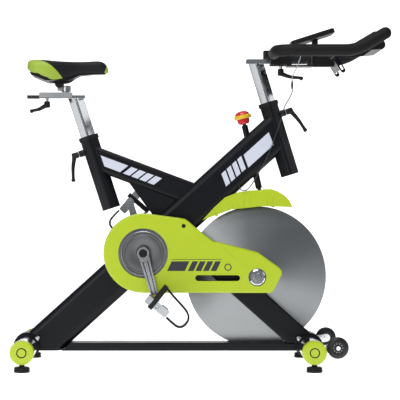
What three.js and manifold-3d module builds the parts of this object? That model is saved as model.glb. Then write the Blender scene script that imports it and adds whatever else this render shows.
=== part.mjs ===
// An indoor exercise bike: an X-shaped welded frame on two chromed stabilizers, a heavy flywheel driven by
// a belt from the crank, a friction brake worked by a knob, and a saddle and a handlebar that adjust up and
// down and fore and aft. Millimetres, +X forward, +Y to the rider's left, +Z up, with the floor at Z = 0.
import * as THREE from "three";
import { mergeVertices } from "three/addons/utils/BufferGeometryUtils.js";
import Module from "manifold-3d";

const wasm = await Module();
wasm.setup();

// Clearances
const GAP = 0.3; // between two pieces that touch
const RUNNING = 0.5; // between a turning piece and the hole round it
const WALL = 3; // steel tube wall

// Where the main things stand
const CRANK_X = -186;
const CRANK_Z = 366;
const FLYWHEEL_X = 181;
const FLYWHEEL_Z = 288.5;
const REAR_FOOT_X = -562;
const FRONT_FOOT_X = 350;
const SEAT_SLEEVE_TOP = [-362, 732];
const SEAT_LEAN = 18; // degrees back from upright
const HEAD_SLEEVE_TOP = [224, 842];
const HEAD_LEAN = 17;

// Frame
const BEAM_SLOPE = 42.1; // degrees up towards the front
const BEAM_TALL = 116;
const BEAM_WIDE = 60;
const BEAM_CORNER = 20;
const SEAT_BEAM_SLOPE = -20.5;
const SEAT_BEAM_TALL = 75;
const SEAT_BEAM_WIDE = 50;
const LEG_SLOPE = -41.7;
const LEG_TALL = 75;
const LEG_WIDE = 25;
const LEG_INNER_Y = 19.5;
const FLOOR_BAR_TALL = 27;
const FLOOR_BAR_WIDE = 80;
const SADDLE_RING = 11; // thickness of the steel cradle that holds a stabilizer
const STABILIZER_R = 35;
const STABILIZER_LONG = 464;
const CAP_WALL = 2.7;
const CAP_LONG = 32;
const CAP_GRIP = 6; // how far a cap reaches over its tube
const FOOT_R = 25;
const FOOT_TALL = 18;
const CAP_ABOVE_FOOT = 5.5; // so a wider tube stands higher and never meets its feet
const STABILIZER_Z = FOOT_TALL + CAP_ABOVE_FOOT + CAP_WALL + GAP + STABILIZER_R;
const STEM_R = 5;

// Sleeves and posts: square tubes set corner to the side
const POST_SIDE = 38;
const POST_CORNER = 6;
const LINER_WALL = 0.8;
const SLEEVE_WALL = 3.2;
const SLEEVE_LONG = 234;
const COLLAR_TALL = 14;
const COLLAR_LIP = 2.5;
const SEAT_POST_DOWN = 185;
const HEAD_POST_DOWN = 185;
const BOSS_R = 11;
const BOSS_DOWN = 34;
const BOSS_REACH = 46;
const SCREW_R = 5;
const LEVER_GAP = 9; // a slide's lever hangs this far below its rail

// Drive
const CRANK_LONG = 170;
const CRANK_ANGLE = -15.5; // the right crank leans forward from straight down
const CRANK_INNER_Y = 88;
const CRANK_THICK = 14;
const AXLE_R = 10;
const CARTRIDGE_R = 23.5;
const SHELL_WALL = 4;
const SHELL_HALF = 36;
const PULLEY_R = 90;
const SMALL_PULLEY_R = 28;
const PULLEY_INNER_Y = 52;
const PULLEY_WIDE = 14;
const BELT_THICK = 3;
const DISC_R = 74;
const FLYWHEEL_R = 228;
const FLYWHEEL_THICK = 18;
const FLYWHEEL_HUB_R = 45;
const FLYWHEEL_HUB_HALF = 14;
const FLYWHEEL_AXLE_R = 8.5;
const BEARING_R = 20;
const GUARD_R = 128;
const GUARD_OUTER_Y = 84;
const GUARD_INNER_Y = 50;
const GUARD_WALL = 2.5;

// Pedals
const PEDAL_MIDDLE_Y = 160;
const PEDAL_HALF_WIDE = 46;
const PEDAL_HALF_LONG = 42;
const PEDAL_HALF_THICK = 13;
const PEDAL_SPINDLE_R = 6;

// Brake
const BRAKE_LEAN = 13;
const BRAKE_TOP = [148.5, 760.5];
const BRAKE_ROD_R = 6;
const KNOB_FROM = 24; // how far above the tube's reference point the knob begins
const BRAKE_PAD_GAP = 4;
const SHROUD_HALF = 34;

// Saddle and handlebar
const RAIL_WIDE = 40;
const SEAT_RAIL = [-564, -375, 867.5, 877.5];
const SEAT_PIN = [-438.5, 11];
const SEAT_SCREW_X = -500;
const SEAT_SLOT_HALF = 45;
const TILT_AXIS = [-460, 915];
const BAR_RAIL = [149, 348, 979, 995];
const BAR_CARRIAGE = [227, 296, 974.5, 1026];
const BAR_SCREW_X = 262;
const HANDLEBAR_HALF = 200;
const HANDLEBAR_X = 236;
const HANDLEBAR_Z = 1008.4;
const HANDLEBAR_R = 12.7;
const GRIP_R = 19;
const HORN_SLOPE = 30;
const HORN_FROM_X = 484;
const HORN_LONG = 107;
const GRIP_FROM_Y = 60; // foam covers the bar from here outwards
const ARM_FROM_X = 364; // the tray's arm starts clear of the rail
const TRAY_LOW = [466.8, 952]; // its rear lower corner
const TRAY_SLOPE = 30.6;
const TRAY_LONG = 147;
const TRAY_DEEP = 63;
const TRAY_HALF = 125;
const TRAY_WALL = 4;
const TRAY_EAR_Y = 90;
const CONSOLE_MIDDLE = [362.5, 1064];
const CONSOLE_SLOPE = 17.7;
const CONSOLE_LONG = 147;
const CONSOLE_WIDE = 130;
const WHEEL_R = 34.3;
const WHEEL_WIDE = 24;
const WHEEL_Y = 195;
const WHEEL_AHEAD = 78;
const WHEEL_Z = 72;

const rad = THREE.MathUtils.degToRad;
const sin = (degrees) => Math.sin(rad(degrees));
const cos = (degrees) => Math.cos(rad(degrees));

const FINISHES = {
  blackPaint: { color: 0x111214, roughness: 0.32, metalness: 0.1 },
  chrome: { color: 0xd8dadc, roughness: 0.12, metalness: 1 },
  steel: { color: 0xa9acb0, roughness: 0.3, metalness: 1 },
  lime: { color: 0xb4d90f, roughness: 0.3, metalness: 0 },
  blackPlastic: { color: 0x161718, roughness: 0.5, metalness: 0 },
  foam: { color: 0x1d1d1f, roughness: 0.85, metalness: 0 },
  rubber: { color: 0x141414, roughness: 0.7, metalness: 0 },
  red: { color: 0xc8101c, roughness: 0.3, metalness: 0 },
};

// ---- Shapes, in the plane of the drawing ----

function polygon(points) {
  return new THREE.Shape(points.map(([x, y]) => new THREE.Vector2(x, y)));
}

function circle(radius, x = 0, y = 0) {
  return new THREE.Shape().absarc(x, y, radius, 0, 2 * Math.PI, false);
}

function roundedRectangle(wide, tall, corner) {
  const x = wide / 2 - corner;
  const y = tall / 2 - corner;
  const shape = new THREE.Shape();
  shape.absarc(x, y, corner, 0, Math.PI / 2, false);
  shape.absarc(-x, y, corner, Math.PI / 2, Math.PI, false);
  shape.absarc(-x, -y, corner, Math.PI, 1.5 * Math.PI, false);
  shape.absarc(x, -y, corner, 1.5 * Math.PI, 2 * Math.PI, false);
  return shape;
}

// A slot-shaped outline round the line from (x0, y0) to (x1, y1).
function stadium(x0, y0, x1, y1, radius) {
  const turn = Math.atan2(y1 - y0, x1 - x0);
  const shape = new THREE.Shape();
  shape.absarc(x1, y1, radius, turn - Math.PI / 2, turn + Math.PI / 2, false);
  shape.absarc(x0, y0, radius, turn + Math.PI / 2, turn + 1.5 * Math.PI, false);
  return shape;
}

// A closed outline moved inwards by distance; its points go round anticlockwise.
function inset(points, distance) {
  return points.map(([x, y], i) => {
    const [px, py] = points[(i + points.length - 1) % points.length];
    const [nx, ny] = points[(i + 1) % points.length];
    const a = new THREE.Vector2(x - px, y - py).normalize();
    const b = new THREE.Vector2(nx - x, ny - y).normalize();
    const normal = new THREE.Vector2(-a.y - b.y, a.x + b.x).normalize();
    const share = Math.max(0.4, normal.x * -a.y + normal.y * a.x);
    return [x + (normal.x * distance) / share, y + (normal.y * distance) / share];
  });
}

// An open line given a thickness.
function ribbon(points, thickness) {
  const sides = [thickness / 2, -thickness / 2].map((offset) =>
    points.map(([x, y], i) => {
      const [px, py] = points[Math.max(i - 1, 0)];
      const [nx, ny] = points[Math.min(i + 1, points.length - 1)];
      const along = new THREE.Vector2(nx - px, ny - py).normalize();
      return [x - along.y * offset, y + along.x * offset];
    }),
  );
  return [...sides[0], ...sides[1].reverse()];
}

// ---- Solids ----

function solid(geometry) {
  const bare = geometry.index ? geometry.toNonIndexed() : geometry.clone();
  for (const name of Object.keys(bare.attributes)) {
    if (name !== "position") bare.deleteAttribute(name);
  }
  const merged = mergeVertices(bare, 1e-4);
  const index = merged.index.array;
  const corners = [];
  for (let i = 0; i < index.length; i += 3) {
    const [a, b, c] = [index[i], index[i + 1], index[i + 2]];
    if (a !== b && b !== c && c !== a) corners.push(a, b, c);
  }
  const make = (list) =>
    new wasm.Manifold(
      new wasm.Mesh({
        numProp: 3,
        vertProperties: merged.attributes.position.array,
        triVerts: new Uint32Array(list),
      }),
    );
  const made = make(corners);
  return made.volume() < 0 ? make(corners.reverse()) : made;
}

// An extruded arc gets about this many sides.
function alongZ(shape, z0, z1, sides = 4) {
  const options = { depth: z1 - z0, bevelEnabled: false, curveSegments: Math.ceil(sides / 2) };
  return solid(new THREE.ExtrudeGeometry(shape, options).translate(0, 0, z0));
}

// The drawing's x and y become X and Z.
function plate(shape, y0, y1, sides = 4) {
  return alongZ(shape, -y1, -y0, sides).rotate([90, 0, 0]);
}

function rodY(x, z, radius, y0, y1, sides = 18) {
  return plate(circle(radius, x, z), y0, y1, sides);
}

function box(x0, x1, y0, y1, z0, z1) {
  const geometry = new THREE.BoxGeometry(x1 - x0, y1 - y0, z1 - z0);
  return solid(geometry.translate((x0 + x1) / 2, (y0 + y1) / 2, (z0 + z1) / 2));
}

// A solid turned about Y from [radius, y] points, its axis at (x, z).
function turned(x, z, profile, sides = 22) {
  const points = profile.map(([r, y]) => new THREE.Vector2(r, y));
  const open = profile[0][0] > 0 || profile[profile.length - 1][0] > 0;
  if (open) points.push(points[0].clone());
  return solid(new THREE.LatheGeometry(points, sides).translate(x, 0, z));
}

// Local X, Y, Z to the bike's frame, leaning back by degrees about Y.
function placing(x, z, degrees, y = 0) {
  return new THREE.Matrix4().makeRotationY(rad(degrees)).setPosition(x, y, z);
}

const put = (body, matrix) => body.transform(matrix.elements);
const joined = (bodies) => bodies.reduce((a, b) => a.add(b));
const mirrored = (body) => body.mirror([0, 1, 0]);

// ---- The scene ----

const bike = new THREE.Group();

function group(x, y, z, parent = bike, degrees = 0) {
  const made = new THREE.Group();
  made.position.set(x, y, z);
  made.rotation.y = rad(degrees);
  parent.add(made);
  made.updateMatrixWorld(true);
  return made;
}

// Adds a solid, made in the bike's frame, as a named mesh of a group.
function piece(name, finish, body, parent = bike) {
  const local = body.transform(parent.matrixWorld.clone().invert().elements).getMesh();
  const count = local.numProp;
  const places = new Float32Array(local.numVert * 3);
  for (let i = 0; i < local.numVert; i++) {
    places.set(local.vertProperties.subarray(i * count, i * count + 3), i * 3);
  }
  const geometry = new THREE.BufferGeometry();
  geometry.setAttribute("position", new THREE.BufferAttribute(places, 3));
  geometry.setIndex(new THREE.BufferAttribute(local.triVerts, 1));
  geometry.computeVertexNormals();
  const material = new THREE.MeshStandardMaterial({ ...FINISHES[finish], flatShading: true });
  const mesh = new THREE.Mesh(geometry, material);
  mesh.name = name;
  parent.add(mesh);
}

// ---- Frame ----

const seatColumn = placing(...SEAT_SLEEVE_TOP, -SEAT_LEAN);
const headColumn = placing(...HEAD_SLEEVE_TOP, -HEAD_LEAN);
const beamLine = placing(CRANK_X, CRANK_Z, -BEAM_SLOPE);
const toBeam = beamLine.clone().invert();
const rearFoot = new THREE.Vector3(REAR_FOOT_X, 0, STABILIZER_Z).applyMatrix4(toBeam);
const headTop = new THREE.Vector3(HEAD_SLEEVE_TOP[0], 0, HEAD_SLEEVE_TOP[1]).applyMatrix4(toBeam);

const linerSide = POST_SIDE + 2 * (GAP + LINER_WALL);
const sleeveInside = linerSide + 2 * GAP;
const sleeveOutside = sleeveInside + 2 * SLEEVE_WALL;

function squareTube(outside, corner, z0, z1, inside = 0) {
  const shape = roundedRectangle(outside, outside, corner);
  if (inside) {
    shape.holes.push(roundedRectangle(inside, inside, Math.max(corner - (outside - inside) / 2, 2)));
  }
  return alongZ(shape, z0, z1, 3).rotate([0, 0, 45]);
}

// A rounded box section along local X.
function beam(tall, wide, corner, x0, x1, grow = 0, wall = 0) {
  const shape = roundedRectangle(tall + 2 * grow, wide + 2 * grow, corner + grow);
  if (wall) {
    shape.holes.push(roundedRectangle(tall - 2 * wall, wide - 2 * wall, corner - wall));
  }
  return alongZ(shape, x0, x1, 4).rotate([0, 90, 0]);
}

function sleeveFill(column) {
  return put(squareTube(sleeveOutside + 2 * GAP, 9, -SLEEVE_LONG - 40, 40), column);
}

const rearTube = rodY(REAR_FOOT_X, STABILIZER_Z, STABILIZER_R + GAP, -300, 300, 24);
const frontTube = rodY(FRONT_FOOT_X, STABILIZER_Z, STABILIZER_R + GAP, -300, 300, 24);
const cradleR = STABILIZER_R + SADDLE_RING;
const barBottom = STABILIZER_Z - FLOOR_BAR_TALL / 2;
const barTop = STABILIZER_Z + FLOOR_BAR_TALL / 2;

// The half ring that sits on a stabilizer.
function cradle(x, wide) {
  return rodY(x, STABILIZER_Z, cradleR, -wide / 2, wide / 2, 24).trimByPlane([0, 0, 1], STABILIZER_Z);
}

const brakeLine = placing(...BRAKE_TOP, -BRAKE_LEAN);
const brakeBore = BRAKE_ROD_R + RUNNING;
const shellR = CARTRIDGE_R + GAP + SHELL_WALL;
const brakeGuide = BRAKE_ROD_R + RUNNING + 3.5;

// Down the brake's axis, from d0 to d1 below its top point.
function brakeRod(radius, d0, d1, segments = 16) {
  return put(alongZ(circle(radius), -d1, -d0, segments), brakeLine);
}

const beamReach = headTop.x + 60;
const beamSolid = put(beam(BEAM_TALL, BEAM_WIDE, BEAM_CORNER, rearFoot.x - 60, beamReach), beamLine);
const beamSpace = beam(BEAM_TALL, BEAM_WIDE, BEAM_CORNER, rearFoot.x - 60, beamReach, GAP);
const beamEnvelope = put(beamSpace, beamLine);
const headBack = [-cos(HEAD_LEAN), 0, -sin(HEAD_LEAN)];
const headBackFrom = headBack[0] * HEAD_SLEEVE_TOP[0] + headBack[2] * HEAD_SLEEVE_TOP[1] + 6;

const beamTube = put(
  beam(BEAM_TALL, BEAM_WIDE, BEAM_CORNER, rearFoot.x - 60, beamReach, 0, WALL),
  beamLine,
);
const guideTop = 4 - KNOB_FROM; // the knob clears the guide by 4 when it is let up
const weldedThrough = joined([
  rodY(CRANK_X, CRANK_Z, shellR, -SHELL_HALF, SHELL_HALF),
  brakeRod(brakeGuide, guideTop, 140).intersect(beamSolid.add(brakeRod(brakeGuide, guideTop, 60))),
]);
const mainBeam = beamTube
  .trimByPlane([1, 0, 0], REAR_FOOT_X - 14)
  .trimByPlane([0, 0, 1], barBottom)
  .trimByPlane(headBack, headBackFrom)
  .add(cradle(REAR_FOOT_X, BEAM_WIDE))
  .add(weldedThrough)
  .subtract(rearTube)
  .subtract(sleeveFill(headColumn))
  .subtract(rodY(CRANK_X, CRANK_Z, CARTRIDGE_R + GAP, -100, 100))
  .subtract(brakeRod(brakeBore, -40, 240));
piece("main_beam", "blackPaint", mainBeam);

// The seat beam starts on the seat sleeve and ends on the main beam, over a gusset.
const seatBeamStart = new THREE.Vector3(0, 0, -62).applyMatrix4(seatColumn);
const seatBeamLine = placing(seatBeamStart.x, seatBeamStart.z, -SEAT_BEAM_SLOPE);
const seatFront = [cos(SEAT_LEAN), 0, sin(SEAT_LEAN)];
const seatFrontFrom = seatFront[0] * SEAT_SLEEVE_TOP[0] + seatFront[2] * SEAT_SLEEVE_TOP[1] + 6;
const gussetCorners = [
  [125, -SEAT_BEAM_TALL / 2 + 5],
  [300, -SEAT_BEAM_TALL / 2 + 5],
  [255, -SEAT_BEAM_TALL / 2 - 80],
];
const underBeam = [-sin(BEAM_SLOPE), 0, cos(BEAM_SLOPE)];
const aboveBeamAxis = underBeam[0] * CRANK_X + underBeam[2] * CRANK_Z;
const seatBeam = put(beam(SEAT_BEAM_TALL, SEAT_BEAM_WIDE, 15, -60, 340, 0, WALL), seatBeamLine)
  .trimByPlane(seatFront, seatFrontFrom)
  .add(put(plate(polygon(gussetCorners), -18, 18), seatBeamLine))
  .trimByPlane(underBeam, aboveBeamAxis)
  .subtract(beamEnvelope)
  .subtract(sleeveFill(seatColumn));
piece("seat_beam", "blackPaint", seatBeam);

// Two legs run down from the main beam on both sides of the flywheel and carry its bearings.
const legFoot = [FRONT_FOOT_X - 1, STABILIZER_Z + 50];
const legLine = placing(legFoot[0], legFoot[1], -LEG_SLOPE);
const legAcross = new THREE.Vector3(-190, 0, -LEG_TALL / 2).applyMatrix4(legLine);
const legMiddleY = LEG_INNER_Y + LEG_WIDE / 2;
const legTop = -430;
const legShape = put(
  beam(LEG_TALL, LEG_WIDE, 7, legTop, 60, 0, WALL).translate([0, 0, -LEG_TALL / 2]),
  legLine,
);
const lug = stadium(FLYWHEEL_X, FLYWHEEL_Z, legAcross.x, legAcross.z, BEARING_R + 12);
const leftLeg = legShape
  .add(plate(lug, -7, 7, 14))
  .translate([0, legMiddleY, 0])
  .trimByPlane(underBeam.map((v) => -v), -aboveBeamAxis + 12)
  .trimByPlane([0, 0, 1], barTop + GAP)
  .subtract(beamEnvelope)
  .subtract(rodY(FRONT_FOOT_X, STABILIZER_Z, cradleR + GAP, 0, 100, 24))
  .subtract(rodY(FLYWHEEL_X, FLYWHEEL_Z, BEARING_R + GAP, 0, 100));
piece("front_leg_left", "blackPaint", leftLeg);
piece("front_leg_right", "blackPaint", mirrored(leftLeg));

// The floor bar is slotted where the flywheel dips into it and carries the front cradle.
const chord = Math.sqrt(Math.max(FLYWHEEL_R ** 2 - (FLYWHEEL_Z - barTop) ** 2, 0)) + 14;
const barSection = roundedRectangle(FLOOR_BAR_TALL, FLOOR_BAR_WIDE, 5);
barSection.holes.push(roundedRectangle(FLOOR_BAR_TALL - 2 * WALL, FLOOR_BAR_WIDE - 2 * WALL, 2.5));
const floorBar = alongZ(barSection, REAR_FOOT_X, FRONT_FOOT_X, 3)
  .rotate([0, 90, 0])
  .translate([0, 0, STABILIZER_Z])
  .trimByPlane(underBeam.map((v) => -v), -aboveBeamAxis + BEAM_TALL / 2 + GAP)
  .add(cradle(FRONT_FOOT_X, 2 * (LEG_INNER_Y + LEG_WIDE)))
  .subtract(frontTube)
  .subtract(box(FLYWHEEL_X - chord, FLYWHEEL_X + chord, -16, 16, 0, 100));
piece("floor_bar", "blackPaint", floorBar.trimByPlane([-1, 0, 0], -FRONT_FOOT_X - 60));

// ---- Stabilizers, caps, feet and transport wheels ----

const tubeHalf = STABILIZER_LONG / 2;
const capEnd = tubeHalf - CAP_GRIP + CAP_LONG;
const capR = STABILIZER_R + GAP + CAP_WALL;
const footY = tubeHalf + 9;

function stabilizer(x) {
  const shape = circle(STABILIZER_R, x, STABILIZER_Z);
  shape.holes.push(circle(STABILIZER_R - 2.5, x, STABILIZER_Z));
  return plate(shape, -tubeHalf, tubeHalf, 24);
}

const wheelX = FRONT_FOOT_X + WHEEL_AHEAD;
const bracketY = WHEEL_Y - WHEEL_WIDE / 2 - 3;
const bracket = plate(
  stadium(FRONT_FOOT_X + STABILIZER_R - 12, STABILIZER_Z + 2, wheelX, WHEEL_Z, 13),
  bracketY - 5,
  bracketY,
  12,
)
  .subtract(rodY(FRONT_FOOT_X, STABILIZER_Z, STABILIZER_R - 2, 0, 300, 32))
  .add(rodY(wheelX, WHEEL_Z, 4, bracketY - 1, WHEEL_Y + WHEEL_WIDE / 2 + 3, 16))
  .add(rodY(wheelX, WHEEL_Z, 7.5, bracketY - 10, bracketY - 4, 6))
  .add(rodY(wheelX, WHEEL_Z, 7, WHEEL_Y + WHEEL_WIDE / 2 + 1, WHEEL_Y + WHEEL_WIDE / 2 + 5, 16));

const frontEnd = group(FRONT_FOOT_X, 0, STABILIZER_Z);
const rearEnd = group(REAR_FOOT_X, 0, STABILIZER_Z);
piece("rear_stabilizer", "chrome", stabilizer(REAR_FOOT_X), rearEnd);
piece(
  "front_stabilizer",
  "chrome",
  joined([stabilizer(FRONT_FOOT_X), bracket, mirrored(bracket)]),
  frontEnd,
);

for (const [end, x, parent] of [
  ["rear", REAR_FOOT_X, rearEnd],
  ["front", FRONT_FOOT_X, frontEnd],
]) {
  const skirt = tubeHalf - CAP_GRIP;
  const cap = turned(x, STABILIZER_Z, [
    [STABILIZER_R + GAP, skirt],
    [capR, skirt],
    [capR, capEnd - 4],
    [capR - 3, capEnd],
    [0, capEnd],
    [0, tubeHalf + GAP],
    [STABILIZER_R + GAP, tubeHalf + GAP],
  ], 24).subtract(alongZ(circle(STEM_R + 0.4, x, footY), 0, STABILIZER_Z, 12));
  const foot = solid(
    new THREE.LatheGeometry(
      [
        [0, 0],
        [FOOT_R - 1, 0],
        [FOOT_R, 3],
        [FOOT_R - 2, FOOT_TALL - 7],
        [FOOT_R - 9, FOOT_TALL],
        [STEM_R, FOOT_TALL],
        [STEM_R, STABILIZER_Z - STABILIZER_R + 8],
        [0, STABILIZER_Z - STABILIZER_R + 8],
      ].map(([r, z]) => new THREE.Vector2(r, z)),
      16,
    ),
  )
    .rotate([90, 0, 0])
    .translate([x, footY, 0]);
  for (const [side, flip] of [
    ["left", (body) => body],
    ["right", mirrored],
  ]) {
    piece(`${end}_cap_${side}`, "lime", flip(cap), parent);
    piece(`${end}_foot_${side}`, "rubber", flip(foot), parent);
  }
}

const wheel = turned(wheelX, WHEEL_Z, [
  [4 + RUNNING, WHEEL_Y - WHEEL_WIDE / 2],
  [17, WHEEL_Y - WHEEL_WIDE / 2],
  [WHEEL_R - 6, WHEEL_Y - WHEEL_WIDE / 2 + 2],
  [WHEEL_R, WHEEL_Y - 5],
  [WHEEL_R, WHEEL_Y + 5],
  [WHEEL_R - 6, WHEEL_Y + WHEEL_WIDE / 2 - 2],
  [17, WHEEL_Y + WHEEL_WIDE / 2],
  [4 + RUNNING, WHEEL_Y + WHEEL_WIDE / 2],
]);
piece("transport_wheel_left", "rubber", wheel, group(wheelX, WHEEL_Y, WHEEL_Z));
piece("transport_wheel_right", "rubber", mirrored(wheel), group(wheelX, -WHEEL_Y, WHEEL_Z));

// ---- Sleeves, collars, posts and their levers ----

// A clamping lever: a hub on its screw along local X, and an arm that hangs along local -Z.
function lever(hubFrom, hubTo, armEnd, screwLong = 10) {
  const arm = ribbon(
    [
      [hubTo - 9, 0],
      [hubTo - 2, -12],
      [armEnd[0] - 4, armEnd[1] + 18],
      armEnd,
    ],
    11,
  );
  const hub = alongZ(circle(10), hubFrom, hubTo, 12).rotate([0, 90, 0]);
  const screw = alongZ(circle(SCREW_R), hubFrom - screwLong, hubFrom + 1, 8).rotate([0, 90, 0]);
  return joined([hub, plate(polygon(arm), -6, 6), screw]);
}

// A sleeve with the boss for its lever; out is 1 for a boss on the front corner, -1 for the rear.
function sleeve(out) {
  const boss = alongZ(circle(BOSS_R), sleeveOutside * 0.55, BOSS_REACH, 14)
    .rotate([0, 90, 0])
    .translate([0, 0, -BOSS_DOWN]);
  const bore = alongZ(circle(SCREW_R + RUNNING), 10, BOSS_REACH + 1, 10)
    .rotate([0, 90, 0])
    .translate([0, 0, -BOSS_DOWN]);
  const body = squareTube(sleeveOutside, 9, -SLEEVE_LONG, 0)
    .add(boss)
    .subtract(squareTube(sleeveInside, 7, -SLEEVE_LONG - 1, 1))
    .subtract(bore);
  return out > 0 ? body : body.mirror([1, 0, 0]);
}

function collar() {
  const lip = squareTube(sleeveOutside + 2 * COLLAR_LIP, 10, GAP, COLLAR_TALL);
  const liner = squareTube(linerSide, 7, -SLEEVE_LONG * 0.1, COLLAR_TALL);
  return lip.add(liner).subtract(squareTube(POST_SIDE + 2 * GAP, POST_CORNER + GAP, -100, 100));
}

const leverDown = [91, -77];
const headLever = lever(BOSS_REACH + GAP + 1, 70, leverDown).translate([0, 0, -BOSS_DOWN]);

const seatGroup = group(SEAT_SLEEVE_TOP[0], 0, SEAT_SLEEVE_TOP[1], bike, -SEAT_LEAN);
piece("seat_sleeve", "blackPaint", put(sleeve(-1), seatColumn), seatGroup);
piece("seat_collar", "blackPlastic", put(collar(), seatColumn), seatGroup);
piece("seat_post_lever", "blackPlastic", put(headLever.mirror([1, 0, 0]), seatColumn), seatGroup);

const headGroup = group(HEAD_SLEEVE_TOP[0], 0, HEAD_SLEEVE_TOP[1], bike, -HEAD_LEAN);
piece("head_sleeve", "blackPaint", put(sleeve(1), headColumn), headGroup);
piece("head_collar", "blackPlastic", put(collar(), headColumn), headGroup);
piece("handlebar_post_lever", "blackPlastic", put(headLever, headColumn), headGroup);

// A post with a level rail welded on top of it.
function post(column, down, [x0, x1, z0, z1]) {
  const tube = put(squareTube(POST_SIDE, POST_CORNER, -down, 400, POST_SIDE - 4), column);
  const rail = box(x0, x1, -RAIL_WIDE / 2, RAIL_WIDE / 2, z0, z1);
  return tube.trimByPlane([0, 0, -1], -z0 - 1).add(rail);
}

const seatSlot = box(
  SEAT_SCREW_X - SEAT_SLOT_HALF,
  SEAT_SCREW_X + SEAT_SLOT_HALF,
  -SCREW_R - RUNNING,
  SCREW_R + RUNNING,
  SEAT_RAIL[2] - 1,
  SEAT_RAIL[3] + 1,
);
const seatPostGroup = group(SEAT_SLEEVE_TOP[0], 0, SEAT_SLEEVE_TOP[1], bike, -SEAT_LEAN);
piece(
  "seat_post",
  "chrome",
  post(seatColumn, SEAT_POST_DOWN, SEAT_RAIL).subtract(seatSlot),
  seatPostGroup,
);

// The saddle's carriage rides on the rail and carries the upright pin and the tilt clamp.
const railHalf = RAIL_WIDE / 2 + GAP;
const [pinX, pinR] = SEAT_PIN;
const seatCarriage = joined([
  box(-524.5, -417.5, -railHalf - 4, railHalf + 4, SEAT_RAIL[2] + 3, SEAT_RAIL[3] + 9),
  alongZ(circle(pinR, pinX, 0), SEAT_RAIL[3] + 5, TILT_AXIS[1] - 10, 20),
  alongZ(circle(pinR + 5, pinX, 0), TILT_AXIS[1] - 25, TILT_AXIS[1] - 6, 20),
  box(TILT_AXIS[0] - 6, pinX, -9, 9, TILT_AXIS[1] - 22, TILT_AXIS[1] - 6),
  rodY(...TILT_AXIS, 10, -15, 15, 16),
])
  .subtract(box(-600, -380, -railHalf, railHalf, 800, SEAT_RAIL[3] + GAP));
const carriageGroup = group(0, 0, 0, seatPostGroup);
piece("seat_carriage", "steel", seatCarriage, carriageGroup);

const seatScrewLong = LEVER_GAP + SEAT_RAIL[3] - SEAT_RAIL[2] - RUNNING;
const slideLever = lever(0, 20, [33, -53], seatScrewLong).rotate([0, 90, 0]);
piece(
  "seat_slide_lever",
  "blackPlastic",
  slideLever.translate([SEAT_SCREW_X, 0, SEAT_RAIL[2] - LEVER_GAP]),
  carriageGroup,
);

// ---- Saddle ----

const SADDLE_SIDE = [
  [-561, 960],
  [-553, 988],
  [-535, 992],
  [-463, 987],
  [-381, 986],
  [-335, 989],
  [-317, 986],
  [-304, 972],
  [-300, 958],
  [-304, 951],
  [-345, 952],
  [-392, 950],
  [-430, 941],
  [-500, 941],
  [-545, 950],
];
const SHELL_SIDE = [
  [-390, 949],
  [-310, 950],
  [-308, 946],
  [-347, 945],
  [-392, 941],
  [-424, 925],
  [-440, 922],
  [-500, 922],
  [-546, 940],
  [-553, 950],
  [-500, 940],
  [-430, 940],
];

// The saddle's outline from above: a wide rounded back that narrows to the nose.
function saddlePlan(grow) {
  const half = [
    [-300, 0],
    [-304, 14],
    [-320, 22],
    [-350, 27],
    [-390, 33],
    [-425, 48],
    [-460, 72],
    [-495, 90],
    [-525, 92],
    [-548, 80],
    [-558, 55],
    [-561, 0],
  ];
  const left = half.map(([x, y]) => [x, Math.max(y + (y > 0 ? grow : 0), 0)]);
  const right = left.slice(1, -1).reverse().map(([x, y]) => [x, -y]);
  return polygon([...left, ...right]);
}

const saddleGroup = group(0, 0, 0, carriageGroup);
const saddlePad = alongZ(saddlePlan(0), 930, 1000).intersect(plate(polygon(SADDLE_SIDE), -100, 100));
piece("saddle_pad", "rubber", saddlePad, saddleGroup);
const underPad = plate(polygon(SADDLE_SIDE), -100, 100).translate([0, 0, -GAP]);
const ear = plate(stadium(...TILT_AXIS, TILT_AXIS[0], TILT_AXIS[1] + 12, 12), 15 + GAP, 22, 10);
const saddleShell = alongZ(saddlePlan(-6), 900, 1000)
  .intersect(plate(polygon(SHELL_SIDE), -100, 100))
  .subtract(underPad)
  .subtract(alongZ(circle(pinR + 10, pinX, 0), 880, TILT_AXIS[1] + 12, 16))
  .subtract(rodY(...TILT_AXIS, 10 + RUNNING, -15 - RUNNING, 15 + RUNNING))
  .add(ear)
  .add(mirrored(ear));
piece("saddle_shell", "blackPlastic", saddleShell, saddleGroup);

// ---- Handlebar ----

const headPostGroup = group(HEAD_SLEEVE_TOP[0], 0, HEAD_SLEEVE_TOP[1], bike, -HEAD_LEAN);
const railTube = box(
  BAR_RAIL[0] - 1,
  BAR_RAIL[1] + 1,
  -RAIL_WIDE / 2 + 2.5,
  RAIL_WIDE / 2 - 2.5,
  BAR_RAIL[2] + 2.5,
  BAR_RAIL[3] - 2.5,
);
piece(
  "handlebar_post",
  "chrome",
  post(headColumn, HEAD_POST_DOWN, BAR_RAIL).subtract(railTube),
  headPostGroup,
);

const barGroup = group(0, 0, 0, headPostGroup);

// A line through given points, which an extrusion follows with one step between each two.
class PointLine extends THREE.Curve {
  constructor(points) {
    super();
    this.points = points;
  }

  getPoint(t) {
    const place = t * (this.points.length - 1);
    const from = Math.min(Math.floor(place), this.points.length - 2);
    return this.points[from].clone().lerp(this.points[from + 1], place - from);
  }

  getUtoTmapping(u) {
    return u;
  }
}

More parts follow.
